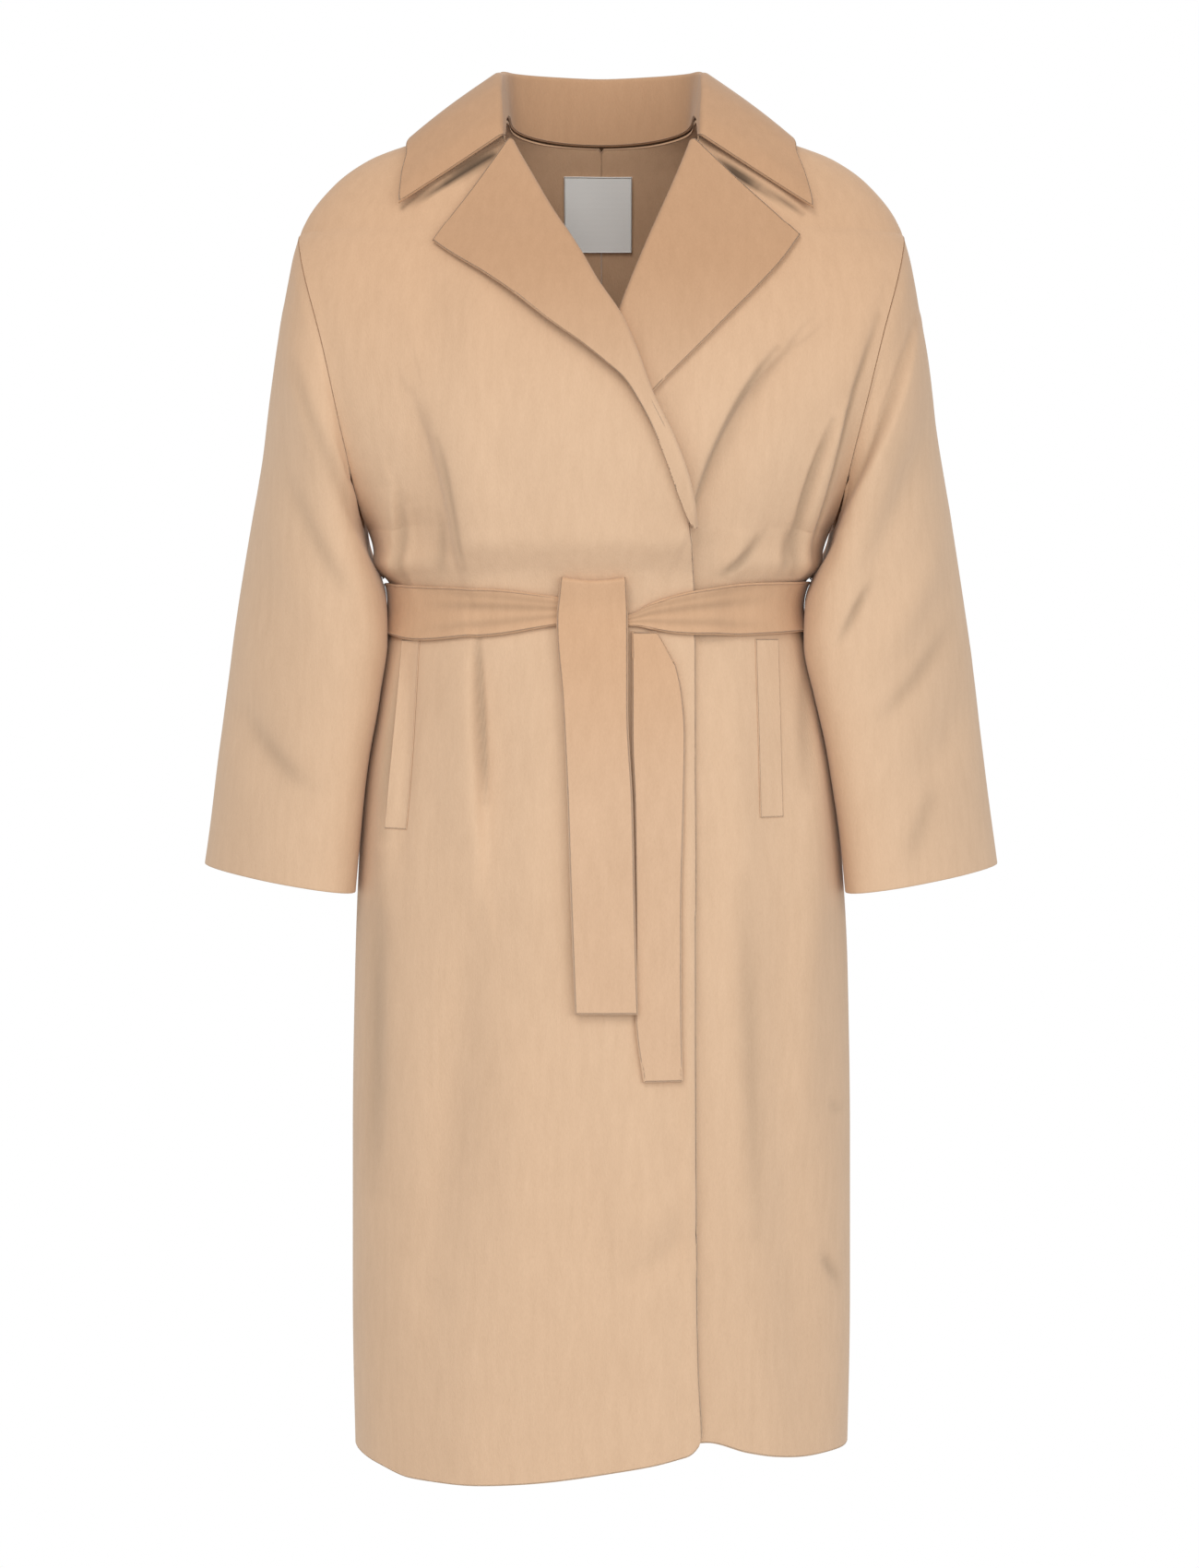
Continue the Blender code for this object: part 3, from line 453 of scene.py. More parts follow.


# Brushed wool: three sizes of noise for tone, the two finest for the nap's relief, and an even
# sheen of short fibres. A tint darkens the cloth between two heights, towards the top, as painted
# shade, and a point attribute darkens it as painted shade in creases.
def woolMaterial(name, light, dark, nap, topShade):
    made, shader, wire = newMaterial(name)
    cloud = clothNoise(wire, 9, 1.6, 3.0)
    streak = clothNoise(wire, 150, 5.0, 3.0)
    fibre = clothNoise(wire, 900, 3.0, 2.0)
    tone = (cloud - 0.5) * 0.7 + (streak - 0.5) * 0.8 + (fibre - 0.5) * 0.7 + 0.5
    colour = wire.mix(tone, (*dark, 1), (*light, 1))
    place = wire.node("ShaderNodeTexCoord", out="Object")
    height = wire.node("ShaderNodeSeparateXYZ", {}, {0: place}, out=2)
    # Painted shade: above a height the colour is multiplied by a darker tint.
    topShadeAmount = wire.node(
        "ShaderNodeMapRange", {"interpolation_type": "SMOOTHSTEP"},
        {"Value": height, "From Min": topShade["low"], "From Max": topShade["high"]},
    )
    colour = wire.mix(topShadeAmount, colour, (*topShade["colour"], 1), "MULTIPLY")
    # Painted shade: a point attribute darkens the colour in creases and under the collar ends.
    paintedShade = wire.node("ShaderNodeAttribute", {"attribute_name": "paintedShade"}, out="Fac")
    shade = 1.0 - paintedShade * 0.28
    grey = wire.node("ShaderNodeCombineColor", {}, {0: shade, 1: shade, 2: shade})
    colour = wire.mix(1.0, colour, grey, "MULTIPLY")
    relief = fibre * 0.7 + streak * 0.5
    bump = wire.node("ShaderNodeBump", {}, {"Height": relief, "Strength": nap, "Distance": 0.0008})
    wire.put(shader.inputs["Base Color"], colour)
    wire.put(shader.inputs["Roughness"], 0.84 + fibre * 0.12)
    wire.put(shader.inputs["Normal"], bump)
    shader.inputs["Sheen Weight"].default_value = 0.22
    shader.inputs["Sheen Roughness"].default_value = 0.5
    shader.inputs["Sheen Tint"].default_value = (0.93, 0.92, 0.86, 1)
    shader.inputs["Specular IOR Level"].default_value = 0.2
    return made


# Off-white satin tape: fine ribs across it, and a soft gloss.
def satinMaterial(name, colour):
    made, shader, wire = newMaterial(name)
    place = wire.node("ShaderNodeTexCoord", out="Object")
    ribs = wire.node(
        "ShaderNodeTexWave", {"wave_type": "BANDS", "bands_direction": "Z"},
        {"Vector": place, "Scale": 330.0, "Distortion": 0.4, "Detail": 1.0},
    )
    grain = clothNoise(wire, 500, 0.4, 2.0)
    darker = tuple(0.92 * c for c in colour)
    mixed = wire.mix(ribs * 0.5 + grain * 0.5, (*darker, 1), (*colour, 1))
    bump = wire.node("ShaderNodeBump", {}, {"Height": ribs, "Strength": 0.3, "Distance": 0.0002})
    wire.put(shader.inputs["Base Color"], mixed)
    wire.put(shader.inputs["Roughness"], 0.42 + grain * 0.14)
    wire.put(shader.inputs["Normal"], bump)
    return made


# Linear colours of the cloth. Each top tint darkens a cloth towards the top as painted shade;
# the lapel and belt cloths are also a little darker in their own tone.
wool = woolMaterial(
    "camel_wool", light=(0.695, 0.480, 0.318), dark=(0.595, 0.400, 0.258), nap=0.5,
    topShade=dict(low=-0.30, high=-0.06, colour=(0.93, 0.86, 0.80)),
)
edgeWool = woolMaterial(
    "camel_wool_lapel_tone_and_shade", light=(0.680, 0.464, 0.306), dark=(0.580, 0.388, 0.248), nap=0.42,
    topShade=dict(low=-0.29, high=-0.10, colour=(0.78, 0.68, 0.60)),
)
beltWool = woolMaterial(
    "camel_wool_belt", light=(0.670, 0.450, 0.295), dark=(0.570, 0.372, 0.236), nap=0.5,
    topShade=dict(low=-0.60, high=-0.42, colour=(0.94, 0.88, 0.82)),
)
satin = satinMaterial("label_satin", (0.97, 0.97, 0.94))
print("materials made")


# The four or two borders of a grid as closed rings of vertices, each with the rough direction
# that leads off the cloth there.
def borders(middle, loop):
    rows, columns = middle.shape[:2]
    index = np.arange(rows * columns).reshape(rows, columns)
    if loop:
        return [(index[0], middle[0] - middle[1]), (index[-1], middle[-1] - middle[-2])]
    ring = np.concatenate([index[0], index[1:, -1], index[-1, -2::-1], index[-2:0:-1, 0]])
    off = np.zeros_like(middle)
    off[0] += unit(middle[0] - middle[1])
    off[-1] += unit(middle[-1] - middle[-2])
    off[:, -1] += unit(middle[:, -1] - middle[:, -2])
    off[:, 0] += unit(middle[:, 0] - middle[:, 1])
    return [(ring, off.reshape(-1, 3)[ring])]


# A row of points set close inside each border, so that a rounded rim stays narrow.
def holdBorders(grid, loop, near):
    for axis in (0,) if loop else (0, 1):
        for end in range(2):
            grid = np.flip(grid, axis)
            edge, after = np.take(grid, 0, axis), np.take(grid, 1, axis)
            span = np.linalg.norm((after - edge)[..., :3], axis=-1, keepdims=True)
            if np.median(span) > 1.4 * near:
                step = (after - edge) * np.minimum(near / span, 0.6)
                grid = np.insert(grid, 1, edge + step, axis)
    return grid


# A closed body between two grids of points. Its rims are rounded: at each border the cloth is
# drawn back by the rim's size, and a half ellipse joins its two faces. The painted shade, from 0
# to 1, marks how far into a crease, or under a collar end, a point lies; it darkens the colour.
def addShell(name, inner, outer, material, slot, nodes, loop=False, rim=1.1, paintedShade=0.0):
    shape = inner.shape[:2]
    marks = [np.broadcast_to(np.asarray(mark, float), shape)[..., None] for mark in (rim, paintedShade)]
    grid = holdBorders(np.concatenate([inner, outer] + marks, axis=-1), loop, coat["hold"])
    inner, outer = grid[..., :3], grid[..., 3:6]
    rim, paintedShade = grid[..., 6].ravel(), grid[..., 7].ravel()
    rows, columns = grid.shape[:2]
    count = rows * columns
    index = np.arange(count).reshape(rows, columns)
    right = np.roll(index, -1, axis=1)
    if loop:
        a, b, c, d = index[:-1], right[:-1], right[1:], index[1:]
    else:
        a, b, c, d = index[:-1, :-1], index[:-1, 1:], index[1:, 1:], index[1:, :-1]
    face = np.stack([a, b, c, d], axis=-1).reshape(-1, 4)
    innerPoints = inner.reshape(-1, 3).copy()
    outerPoints = outer.reshape(-1, 3).copy()
    faces = [face + count, face[:, ::-1]]
    extra = []
    start = 2 * count
    for ring, rough in borders(0.5 * (inner + outer), loop):
        ringInner, ringOuter = innerPoints[ring], outerPoints[ring]
        centre = 0.5 * (ringInner + ringOuter)
        half = 0.5 * (ringOuter - ringInner)
        tangent = unit(np.roll(centre, -1, axis=0) - np.roll(centre, 1, axis=0))
        off = np.cross(tangent, unit(half))
        off = unit(off * np.sign(np.sum(off * rough, axis=1, keepdims=True)))
        back = off * rim[ring][:, None]
        innerPoints[ring] = ringInner - back
        outerPoints[ring] = ringOuter - back
        band = [ring + count]
        for angle in np.radians((45, 90, 135)):
            extra.append(centre - back + half * np.cos(angle) + back * np.sin(angle))
            band.append(start + np.arange(len(ring)))
            start += len(ring)
        band.append(ring)
        for near, far in zip(band[:-1], band[1:]):
            faces.append(np.stack([near, np.roll(near, -1), np.roll(far, -1), far], axis=-1))
    co = np.concatenate([innerPoints, outerPoints] + extra) * mm
    quads = faceOut(co, np.concatenate(faces))
    made = addMesh(name, co, quads, material, nodes)
    # Painted shade, kept as a point attribute on both faces of the cloth.
    if paintedShade.any():
        paintedShadeAtPoints = np.zeros(len(co), np.float32)
        paintedShadeAtPoints[:2 * count] = np.tile(paintedShade, 2)
        mark = made.data.attributes.new("paintedShade", "FLOAT", "POINT")
        mark.data.foreach_set("value", paintedShadeAtPoints)
    return made


# The quads, all turned if the volume inside them is below zero.
def faceOut(co, quads):
    a, b, c, d = (co[quads[:, i]] for i in range(4))
    volume = np.sum(a * np.cross(b, c)) + np.sum(a * np.cross(c, d))
    return quads[:, ::-1] if volume < 0 else quads


# A mesh object from points and quads, riding on the coat's one body.
def addMesh(name, co, quads, material, nodes):
    mesh = bpy.data.meshes.new(name)
    mesh.vertices.add(len(co))
    mesh.vertices.foreach_set("co", co.astype(np.float32).ravel())
    mesh.loops.add(quads.size)
    mesh.loops.foreach_set("vertex_index", quads.astype(np.int32).ravel())
    mesh.polygons.add(len(quads))
    mesh.polygons.foreach_set("loop_start", np.arange(0, quads.size, 4, dtype=np.int32))
    mesh.update(calc_edges=True)
    mesh.validate()
    mesh.shade_smooth()
    mesh.materials.append(material)
    made = bpy.data.objects.new(name, mesh)
    bpy.context.collection.objects.link(made)
    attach(made, "root")
    if nodes:
        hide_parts(*nodes)
    return made


# Directions at a right angle to a grid of points; loop closes its second way round.
def gridNormals(grid, loop):
    along = np.gradient(grid, axis=0)
    if loop:
        across = np.roll(grid, -1, axis=1) - np.roll(grid, 1, axis=1)
    else:
        across = np.gradient(grid, axis=1)
    return unit(np.cross(along, across))


# A wall half its thickness each way from a grid of points.
def addSheet(name, middle, wall, material, slot, nodes, **more):
    half = gridNormals(middle, False) * wall / 2
    return addShell(name, middle - half, middle + half, material, slot, nodes, **more)


# Front edge and roll line of each front, and how far the hem is lifted across it.
frontOver = dict(
    name="coatFrontOver", node="front_over", side=-1, out=-1, columns=150, rows=306,
    edge=table(
        "z x",
        (-1160, 82), (-1000, 78), (-700, 77), (-440, 77), (-380, 76), (-341, 72), (-302, 65), (-266, 53),
        (-237, 39), (-175, 15), (-140, -8), (-114, -22), (-82, -42), (-50, -60), (-19, -77), (-8, -82),
    ),
    hem=table("x lift", (-215, 2), (-187, -2), (-160, -7), (-129, -6), (-90, -3), (38, 16), (84, 26)),
    corner=14.0, lift=overLift, flat=(0.42, 1.20), area=0.385,
)
frontUnder = dict(
    name="coatFrontUnder", node="front_under", side=-1, out=1, columns=136, rows=306,
    edge=table(
        "z x",
        (-1160, -76), (-1000, -74), (-440, -72), (-345, -66), (-300, -42), (-240, -11), (-175, 15),
        (-155, 22), (-117, 37), (-82, 52), (-47, 67), (-22, 77), (-8, 82),
    ),
    hem=table("x lift", (-90, 34), (85, 32), (121, 20), (146, 13), (173, 8), (195, 6), (215, 2)),
    corner=0.0, lift=noLift, flat=(0.40, 1.19), area=0.36,
)
backLeft = dict(
    name="coatBackLeft", node="back_left", side=1, out=1, columns=90, rows=226, edge=None, hem=None,
    corner=0.0, lift=noLift, flat=(0.31, 1.17), area=0.315,
)
backRight = dict(backLeft, name="coatBackRight", node="back_right", out=-1)

skirtLevels = np.array([coat["hemZ"], -1060, -980, -890, -800, -720, -650, -595, -548, -508, -474, -446,
                        -420, -404, -386, -370, -354, coat["underarmZ"]])
frontRise = np.array([-295.0, -250, -205, -160, -115, -65, -8])
backRise = np.array([-290.0, -240, -190, -140, -95, -50, 0])


# The inner edge of a panel, by a number that counts its rows: up the front edge and roll line or
# the centre back seam, then round the neck to its side.
def innerEdge(piece, count):
    isFront = piece["side"] < 0
    levels = np.concatenate([skirtLevels, frontRise if isFront else backRise])
    last = len(levels) - 1
    z = np.interp(count, np.arange(len(levels)), levels)
    if isFront:
        x = read(piece["edge"], "x", z)
        places = [1.0, 0.8, 0.64, 0.5]
    else:
        x = piece["out"] * 0.03 + 0 * z
        places = [0.0, 0.17, 0.34, 0.5]
    place = np.interp(count - last, np.arange(4), places)
    neckTurn, neckZ, _ = neckPlace(piece["out"] * np.maximum(place, 1e-6))
    onNeck = count > last
    return np.where(onNeck, neckTurn, turnAt(x, z)), np.where(onNeck, neckZ, z)


# The outer edge: up the side seam, round the armhole and on to the shoulder.
def outerEdge(piece, count):
    around = np.radians(np.linspace(-90, 90, 11))[1:]
    first = len(skirtLevels) - 1
    skirtZ = np.interp(count, np.arange(first + 1), skirtLevels)
    angle = np.interp(count - first, np.arange(11), np.concatenate([[-np.pi / 2], around]))
    z = np.where(count > first, armholeMiddle + armholeHalf * np.sin(angle), skirtZ)
    return edgeTurn(z) * piece["out"], z


# What all panels share: the share of rows below the waist, the extra length counted for each
# section and near the neck, how far up hem and corner are shaped, and the gap at the side seam.
panels = dict(
    skirtShare=0.55, sectionExtra=12, neckExtra=20, hemFade=120, cornerFade=(30, 90), sideGap=0.1,
    backSeamRim=0.05,
)


# A panel: rows run straight from its inner edge to its outer edge, in angle and height.
def makePanel(piece):
    total = len(skirtLevels) + 9
    key = np.arange(total + 1.0)
    innerStep, outerStep = (np.abs(np.diff(edge(piece, key)[1])) for edge in (innerEdge, outerEdge))
    length = innerStep + outerStep + panels["sectionExtra"]
    length[:len(skirtLevels) - 6] *= panels["skirtShare"]
    length[-3:] += panels["neckExtra"]
    reached = np.concatenate([[0], np.cumsum(length)])
    count = np.interp(np.linspace(0, reached[-1], piece["rows"]), reached, key)
    innerTurn, innerZ = innerEdge(piece, count)
    outerTurn, outerZ = outerEdge(piece, count)
    s = np.linspace(0, 1, piece["columns"])
    turn = innerTurn[:, None] * (1 - s) + outerTurn[:, None] * s
    z = innerZ[:, None] * (1 - s) + outerZ[:, None] * s
    x = form(turn, z, np.full(turn.shape, float(piece["side"])))[..., 0]
    if piece["hem"] is not None:
        fade = 1 - rise(z, coat["hemZ"], coat["hemZ"] + panels["hemFade"])
        z = z + read(piece["hem"], "lift", x, key="x") * fade
    if piece["corner"]:
        radius = piece["corner"]
        inset = np.clip(radius - np.abs(x - x[:, :1]), 0, radius)
        fade = 1 - rise(z, *(coat["hemZ"] + up for up in panels["cornerFade"]))
        z = z + (radius - np.sqrt(radius ** 2 - inset ** 2)) * fade
    gap = panels["sideGap"] / read(body, "front", z)
    turn = np.clip(turn, gap - np.pi / 2, np.pi / 2 - gap)
    side = np.full(turn.shape, float(piece["side"]))
    inner, outer = skin(turn, z, side, piece["lift"](x, z), coat["wall"])
    rim = np.full(turn.shape, coat["sewnRim"])
    rim[0] = coat["edgeRim"]
    rim[:, 0] = coat["edgeRim"] if piece["side"] < 0 else panels["backSeamRim"]
    # Painted shade in the creases, darker the further into a crease a point lies.
    paintedShade = np.clip(-foldHeight(bodyCreases, x, z, side) / coat["creaseFull"], 0, 1)
    # Painted shadow under the ends of the collar, from the marks above.
    paintedShade = paintedShade + coat["collarShadow"] * np.clip(-foldHeight(collarShade, x, z, side), 0, 1)
    nodes = [piece["node"], piece["node"] + "_skirt"]
    made = addShell(piece["name"], inner, outer, wool, "coat_cloth", nodes, rim=rim, paintedShade=paintedShade)


for piece in (frontOver, frontUnder, backLeft, backRight):
    makePanel(piece)
print("panels made")


sleeves = dict(
    rows=170, sides=128, foldStart=1.0, seamBlend=3.0, seamTurn=2.6, open=-0.88, sewn=-0.50,
    flat=(0.44, 0.58), area=0.18, creaseFull=2.5,
    rings=table(
        "outerX outerZ innerX innerZ halfDepth y lead",
        (262.4, -85, 206, -339, 78, 0, 0), (266, -100, 204, -346, 78.5, 1, 0),
        (270.3, -126, 202, -356, 78.2, 2, 3), (277.2, -170, 197.4, -368, 77, 3, 8),
        (286.1, -222, 189, -382, 74, 4, 18), (296.1, -284, 182.5, -405, 70, 4, 31),
        (308.2, -352, 181, -438, 64, 4, 41), (319.4, -424, 188.5, -484, 61, 3, 42),
        (328.3, -494, 198.5, -535, 58, 3, 42), (337, -563, 206.5, -590, 56, 2, 40),
        (345.8, -632, 212.5, -651, 55, 2, 38),
    ),
)


# A tube through rings that fan out from the armhole to the cuff: each ring is an ellipse between
# its outer and its inner line, the inner line ahead of its middle by the lead and the outer line
# behind it. The first ring is the panels' own edge, moved off by the seam.
def makeSleeve(name, node, out):
    rings = sleeves["rings"]
    station = np.arange(len(rings["y"]), dtype=float)
    at = np.linspace(0, 1, sleeves["rows"]) ** 1.15 * station[-1]
    row = {column: smooth(at, station, rings[column])[:, None] for column in rings}
    around = np.linspace(0, 2 * np.pi, sleeves["sides"], endpoint=False)
    high = np.sin(around)
    side = np.where(np.cos(around) > 0, -1.0, 1.0)
    innerX = row["innerX"] + out * read(body, "shift", row["innerZ"])
    x = 0.5 * (row["outerX"] + innerX) + 0.5 * (row["outerX"] - innerX) * high
    z = 0.5 * (row["outerZ"] + row["innerZ"]) + 0.5 * (row["outerZ"] - row["innerZ"]) * high
    y = row["y"] - row["halfDepth"] * np.cos(around) + row["lead"] * high
    tube = points(x, y, z)
    sides = side + 0 * x
    crease = foldHeight(sleeveCreases[out], x, z, sides)
    calm = np.abs(np.cos(around)) ** 0.5
    fold = (foldHeight(sleeveFolds[out], x, z, sides) + crease) * calm + softWave(x + 300 * out, z, 0.0)
    starts = rise(at, 0, sleeves["foldStart"])[:, None]
    mirror = np.array([out, 1, 1])
    sewn = rise(high, sleeves["open"], sleeves["sewn"])[:, None]
    turn = out * edgeTurn(z[0])
    seam = skin(turn, z[0], side, np.zeros(len(turn))) * mirror
    seamNormal = outward(turn, z[0], side) * mirror
    along = np.roll(seam, -1, axis=0) - np.roll(seam, 1, axis=0)
    seam = seam + unit(np.cross(along, seamNormal)) * 2 * coat["seam"]
    near = rise(at, sleeves["seamBlend"], 0)[:, None, None] * sewn
    tube = tube + (seam - tube[0]) * near
    normal = gridNormals(tube, True)
    near = rise(at, sleeves["seamTurn"], 0)[:, None, None] * sewn
    normal = unit(normal * (1 - near) + seamNormal * near)
    inner = tube + normal * (fold * starts)[..., None]
    outer = inner + normal * coat["wall"]
    rim = np.full(x.shape, coat["edgeRim"])
    rim[0] = coat["sewnRim"]
    # Painted shade in the sleeve's creases.
    paintedShade = np.clip(-crease / sleeves["creaseFull"], 0, 1) * calm * starts
    nodes = [node, node + "_lower"]
    made = addShell(name, inner * mirror, outer * mirror, wool, "coat_cloth", nodes, True, rim, paintedShade)


makeSleeve("coatSleeveLeft", "sleeve_left", 1)
makeSleeve("coatSleeveRight", "sleeve_right", -1)
print("sleeves made")


# A row from the roll line to the outer edge for each line down a lapel.
lapels = dict(
    wall=2.8, rollRadius=3.4, rollGap=1.0, rows=150, rollColumns=14, flatColumns=48,
    over=table(
        "rollZ edgeX edgeZ",
        (-14, -141, -101), (-48, -121, -116), (-84, -96, -133), (-118, -72, -150), (-152, -47, -169),
        (-184, -22, -186), (-212, 2, -205), (-234, 18, -219), (-256, 30, -237), (-280, 42, -260),
        (-303, 51, -283), (-322, 60, -310), (-339, 68, -331),
    ),
    under=table(
        "rollZ edgeX edgeZ",
        (-14, 167, -95), (-42, 150, -118), (-76, 125, -145), (-108, 101, -169), (-140, 76, -194),
        (-170, 51, -219), (-200, 26, -246), (-232, 2, -272), (-264, -20, -298), (-300, -44, -322),
        (-338, -63, -340),
    ),
)


# Half a turn round the roll line, then flat over the front to the outer edge.
def makeLapel(name, node, rows, edge, out, lift, stand):
    wall, radius = lapels["wall"], lapels["rollRadius"]
    rollZ = np.linspace(rows["rollZ"][0], rows["rollZ"][-1], lapels["rows"])
    rollX = read(edge, "x", rollZ)
    edgeX, edgeZ = (read(rows, column, rollZ, key="rollZ") for column in ("edgeX", "edgeZ"))
    along = unit(np.stack([np.gradient(rollX), np.gradient(rollZ)], axis=-1))
    away = np.stack([-along[:, 1], along[:, 0]], axis=-1)
    away *= np.sign(away[:, :1]) * -out
    beta = np.linspace(0, np.pi, lapels["rollColumns"])
    startX = rollX + away[:, 0] * lapels["rollGap"]
    startZ = rollZ + away[:, 1] * lapels["rollGap"]
    swing = np.sin(beta) * radius
    s = np.linspace(0, 1, lapels["flatColumns"])[1:]
    flatX = startX[:, None] * (1 - s) + edgeX[:, None] * s
    flatZ = startZ[:, None] * (1 - s) + edgeZ[:, None] * s
    x = np.concatenate([startX[:, None] + away[:, :1] * swing, flatX], axis=1)
    z = np.concatenate([startZ[:, None] + away[:, 1:] * swing, flatZ], axis=1)
    t = np.linspace(0, 1, len(rollZ))[:, None]
    rest = coat["wall"] + stand[0] + stand[1] * np.sin(np.pi * t) ** 1.5 + wall / 2
    up = coat["wall"] / 2 + radius * (1 - np.cos(beta)) + 0 * t
    down = rest + (up[:, -1:] - rest) * (1 - s) ** 2
    height = np.concatenate([up, down], axis=1) + lift(x, z)
    middle = skin(turnAt(x, z), z, -1.0, height)
    made = addSheet(name, middle, wall, edgeWool, "lapel_cloth", [node], rim=1.3)


makeLapel(
    "lapelOver", "lapel_over", lapels["over"], frontOver["edge"], -1, overLift, stand=(2.2, 6.0),
)
makeLapel(
    "lapelUnder", "lapel_under", lapels["under"], frontUnder["edge"], 1, noLift, stand=(1.5, 0.5),
)

# A station for each place round the neck, from -1 at the wearer's right end to 1 at the left.
collar = dict(
    wall=2.8, rollRadius=3.4, lift=7.0, stations=230, standRows=16, rollRows=12, fallRows=34,
    flat=(0.15, 0.62), area=0.072,
    shape=table(
        "place rollX rollY rollZ edgeTurn edgeZ",
        (-1.0, -84, -63, -6, -138, -69), (-0.88, -85, -50, 14, -134, -47),
        (-0.74, -87, -24, 40, -125, -22), (-0.6, -87, 8, 55, -97, -8), (-0.42, -79, 48, 60, -58, -12),
        (-0.2, -44, 74, 60, -28, -24), (0.0, 0, 83, 60, 0, -27), (0.2, 44, 74, 60, 28, -24),
        (0.42, 79, 48, 60, 58, -12), (0.6, 87, 8, 55, 97, -8), (0.74, 87, -24, 40, 125, -22),
        (0.88, 85, -50, 14, 133, -50), (1.0, 84, -63, -6, 136, -73),
    ),
)


# Points pushed forward or back until they clear the coat under them.
def clearOfCoat(grid, side, gap):
    x, y, z = grid[..., 0], grid[..., 1], grid[..., 2]
    under = form(turnAt(x, z), z, side)
    reach = side * under[..., 1] + gap
    inside = (np.abs(x) < read(body, "halfWidth", z)) & (z < coat["neckSideZ"])
    depth = np.where(inside, np.maximum(side * y, reach), side * y)
    return points(x, side * depth, z)


# Stand, roll and fall: a folded strip carried round the neck seam. The roll is an arc that turns
# from the stand's direction to the fall's.
def makeCollar():
    shape, wall, radius = collar["shape"], collar["wall"], collar["rollRadius"]
    place = np.linspace(-1, 1, collar["stations"])
    turn, z, side = neckPlace(place)
    normal = outward(turn, z, side)
    onTop = rise(np.abs(place), 0.55, 0.8)[:, None]
    onFront = coat["wall"] / 2 + coat["lie"] + wall / 2
    foot = form(turn, z, side) + normal * (coat["wall"] / 2 + onTop * onFront)
    overSeam = coat["wall"] * np.maximum(normal[:, 2:], 0.1) + 2 * coat["seam"]
    foot = foot + np.array([0, 0, 1.0]) * (1 - onTop) * overSeam
    roll = points(*(read(shape, "roll" + axis, place, key="place") for axis in "XYZ"))
    edgeAngle = read(shape, "edgeTurn", place, key="place")
    end = rise(np.abs(place), 0.8, 1)
    lift = collar["lift"] + 4 * end
    edge = skinRound(edgeAngle, read(shape, "edgeZ", place, key="place"), lift)
    up = unit(roll - foot)
    over = unit(edge - roll)
    out = unit(over - up * np.sum(over * up, axis=1, keepdims=True))
    s = np.linspace(0, 1, collar["standRows"])[:-1, None, None]
    stand = foot + (roll - foot) * s
    bend = np.arccos(np.clip(np.sum(over * up, axis=1), -0.97, 0.97))
    beta = np.linspace(0, 1, collar["rollRows"])[:, None, None] * bend[:, None]
    top = roll + out * radius * (1 - np.cos(beta)) + up * radius * np.sin(beta)
    s = np.linspace(0, 1, collar["fallRows"])[1:, None, None]
    fall = top[-1] + (edge - top[-1]) * s + out * (4 + 3 * end[:, None]) * np.sin(np.pi * s)
    gap = coat["wall"] + coat["lie"] + wall / 2
    face = np.where(np.abs(edgeAngle) < 90, 1.0, -1.0)
    fall = clearOfCoat(fall, np.broadcast_to(face, fall.shape[:2]), gap)
    middle = np.concatenate([stand, top, fall]).transpose(1, 0, 2)
    made = addSheet("collarTurned", middle, wall, edgeWool, "lapel_cloth", ["collar"], rim=1.3)


makeCollar()
print("lapels and collar made")


belt = dict(
    wall=3.0, ease=0.6, waistColumns=420, waistRows=20, flat=(0.052, 0.85),
    frontFlat=(0.055, 0.39), backFlat=(0.043, 0.36), creaseFull=1.2, stripColumns=26, sag=3.5,
    waist=table(
        "turn top bottom",
        (-172, -397, -423), (-150, -389, -433), (-125, -388, -436), (-100, -385, -431), (-60, -384, -434),
        (0, -383, -435), (60, -383, -434), (100, -382, -429), (128, -384, -431), (140, -386, -432),
        (152, -390, -432), (159, -395, -431), (165, -402, -428), (170, -412, -425), (175, -416, -425),
    ),
    tailFront=table(
        "z left right",
        (-379, -33, 20), (-422, -36, 21), (-489, -31, 21), (-574, -27, 25), (-664, -24, 27),
        (-742, -21, 29),
    ),
    tailBack=table(
        "z left right",
        (-429, 24, 44), (-440, 24, 51), (-458, 24, 60), (-484, 24, 65), (-513, 24, 67),
        (-574, 26, 66), (-664, 27, 64), (-745, 27, 64), (-798, 33, 65),
    ),
)


# The stretch of belt round the waist, its ends under the knot.
def makeBeltWaist():
    turn = np.linspace(-172, 175, belt["waistColumns"])
    across = np.linspace(0, 1, belt["waistRows"])
    top = read(belt["waist"], "top", turn, key="turn")[:, None]
    bottom = read(belt["waist"], "bottom", turn, key="turn")[:, None]
    z = bottom * (1 - across) + top * across
    turn = turn[:, None] + 0 * z
    x = skinRound(turn, z, np.zeros(z.shape))[..., 0]
    lift = wornLift(x, z) * (np.abs(turn) > 90) + coat["wall"] + coat["lie"] + belt["ease"]
    crease = beltCrease(turn, across + 0 * z)
    inner, outer = skinRound(turn, z, lift, belt["wall"])
    outer = outer + unit(outer - inner) * crease[..., None]
    # Painted shade in the belt's creases near the knot.
    paintedShade = np.clip(-crease / belt["creaseFull"], 0, 1)
    nodes = ["belt_waist"]
    made = addShell("beltWaist", inner, outer, beltWool, "belt_cloth", nodes, rim=1.4, paintedShade=paintedShade)


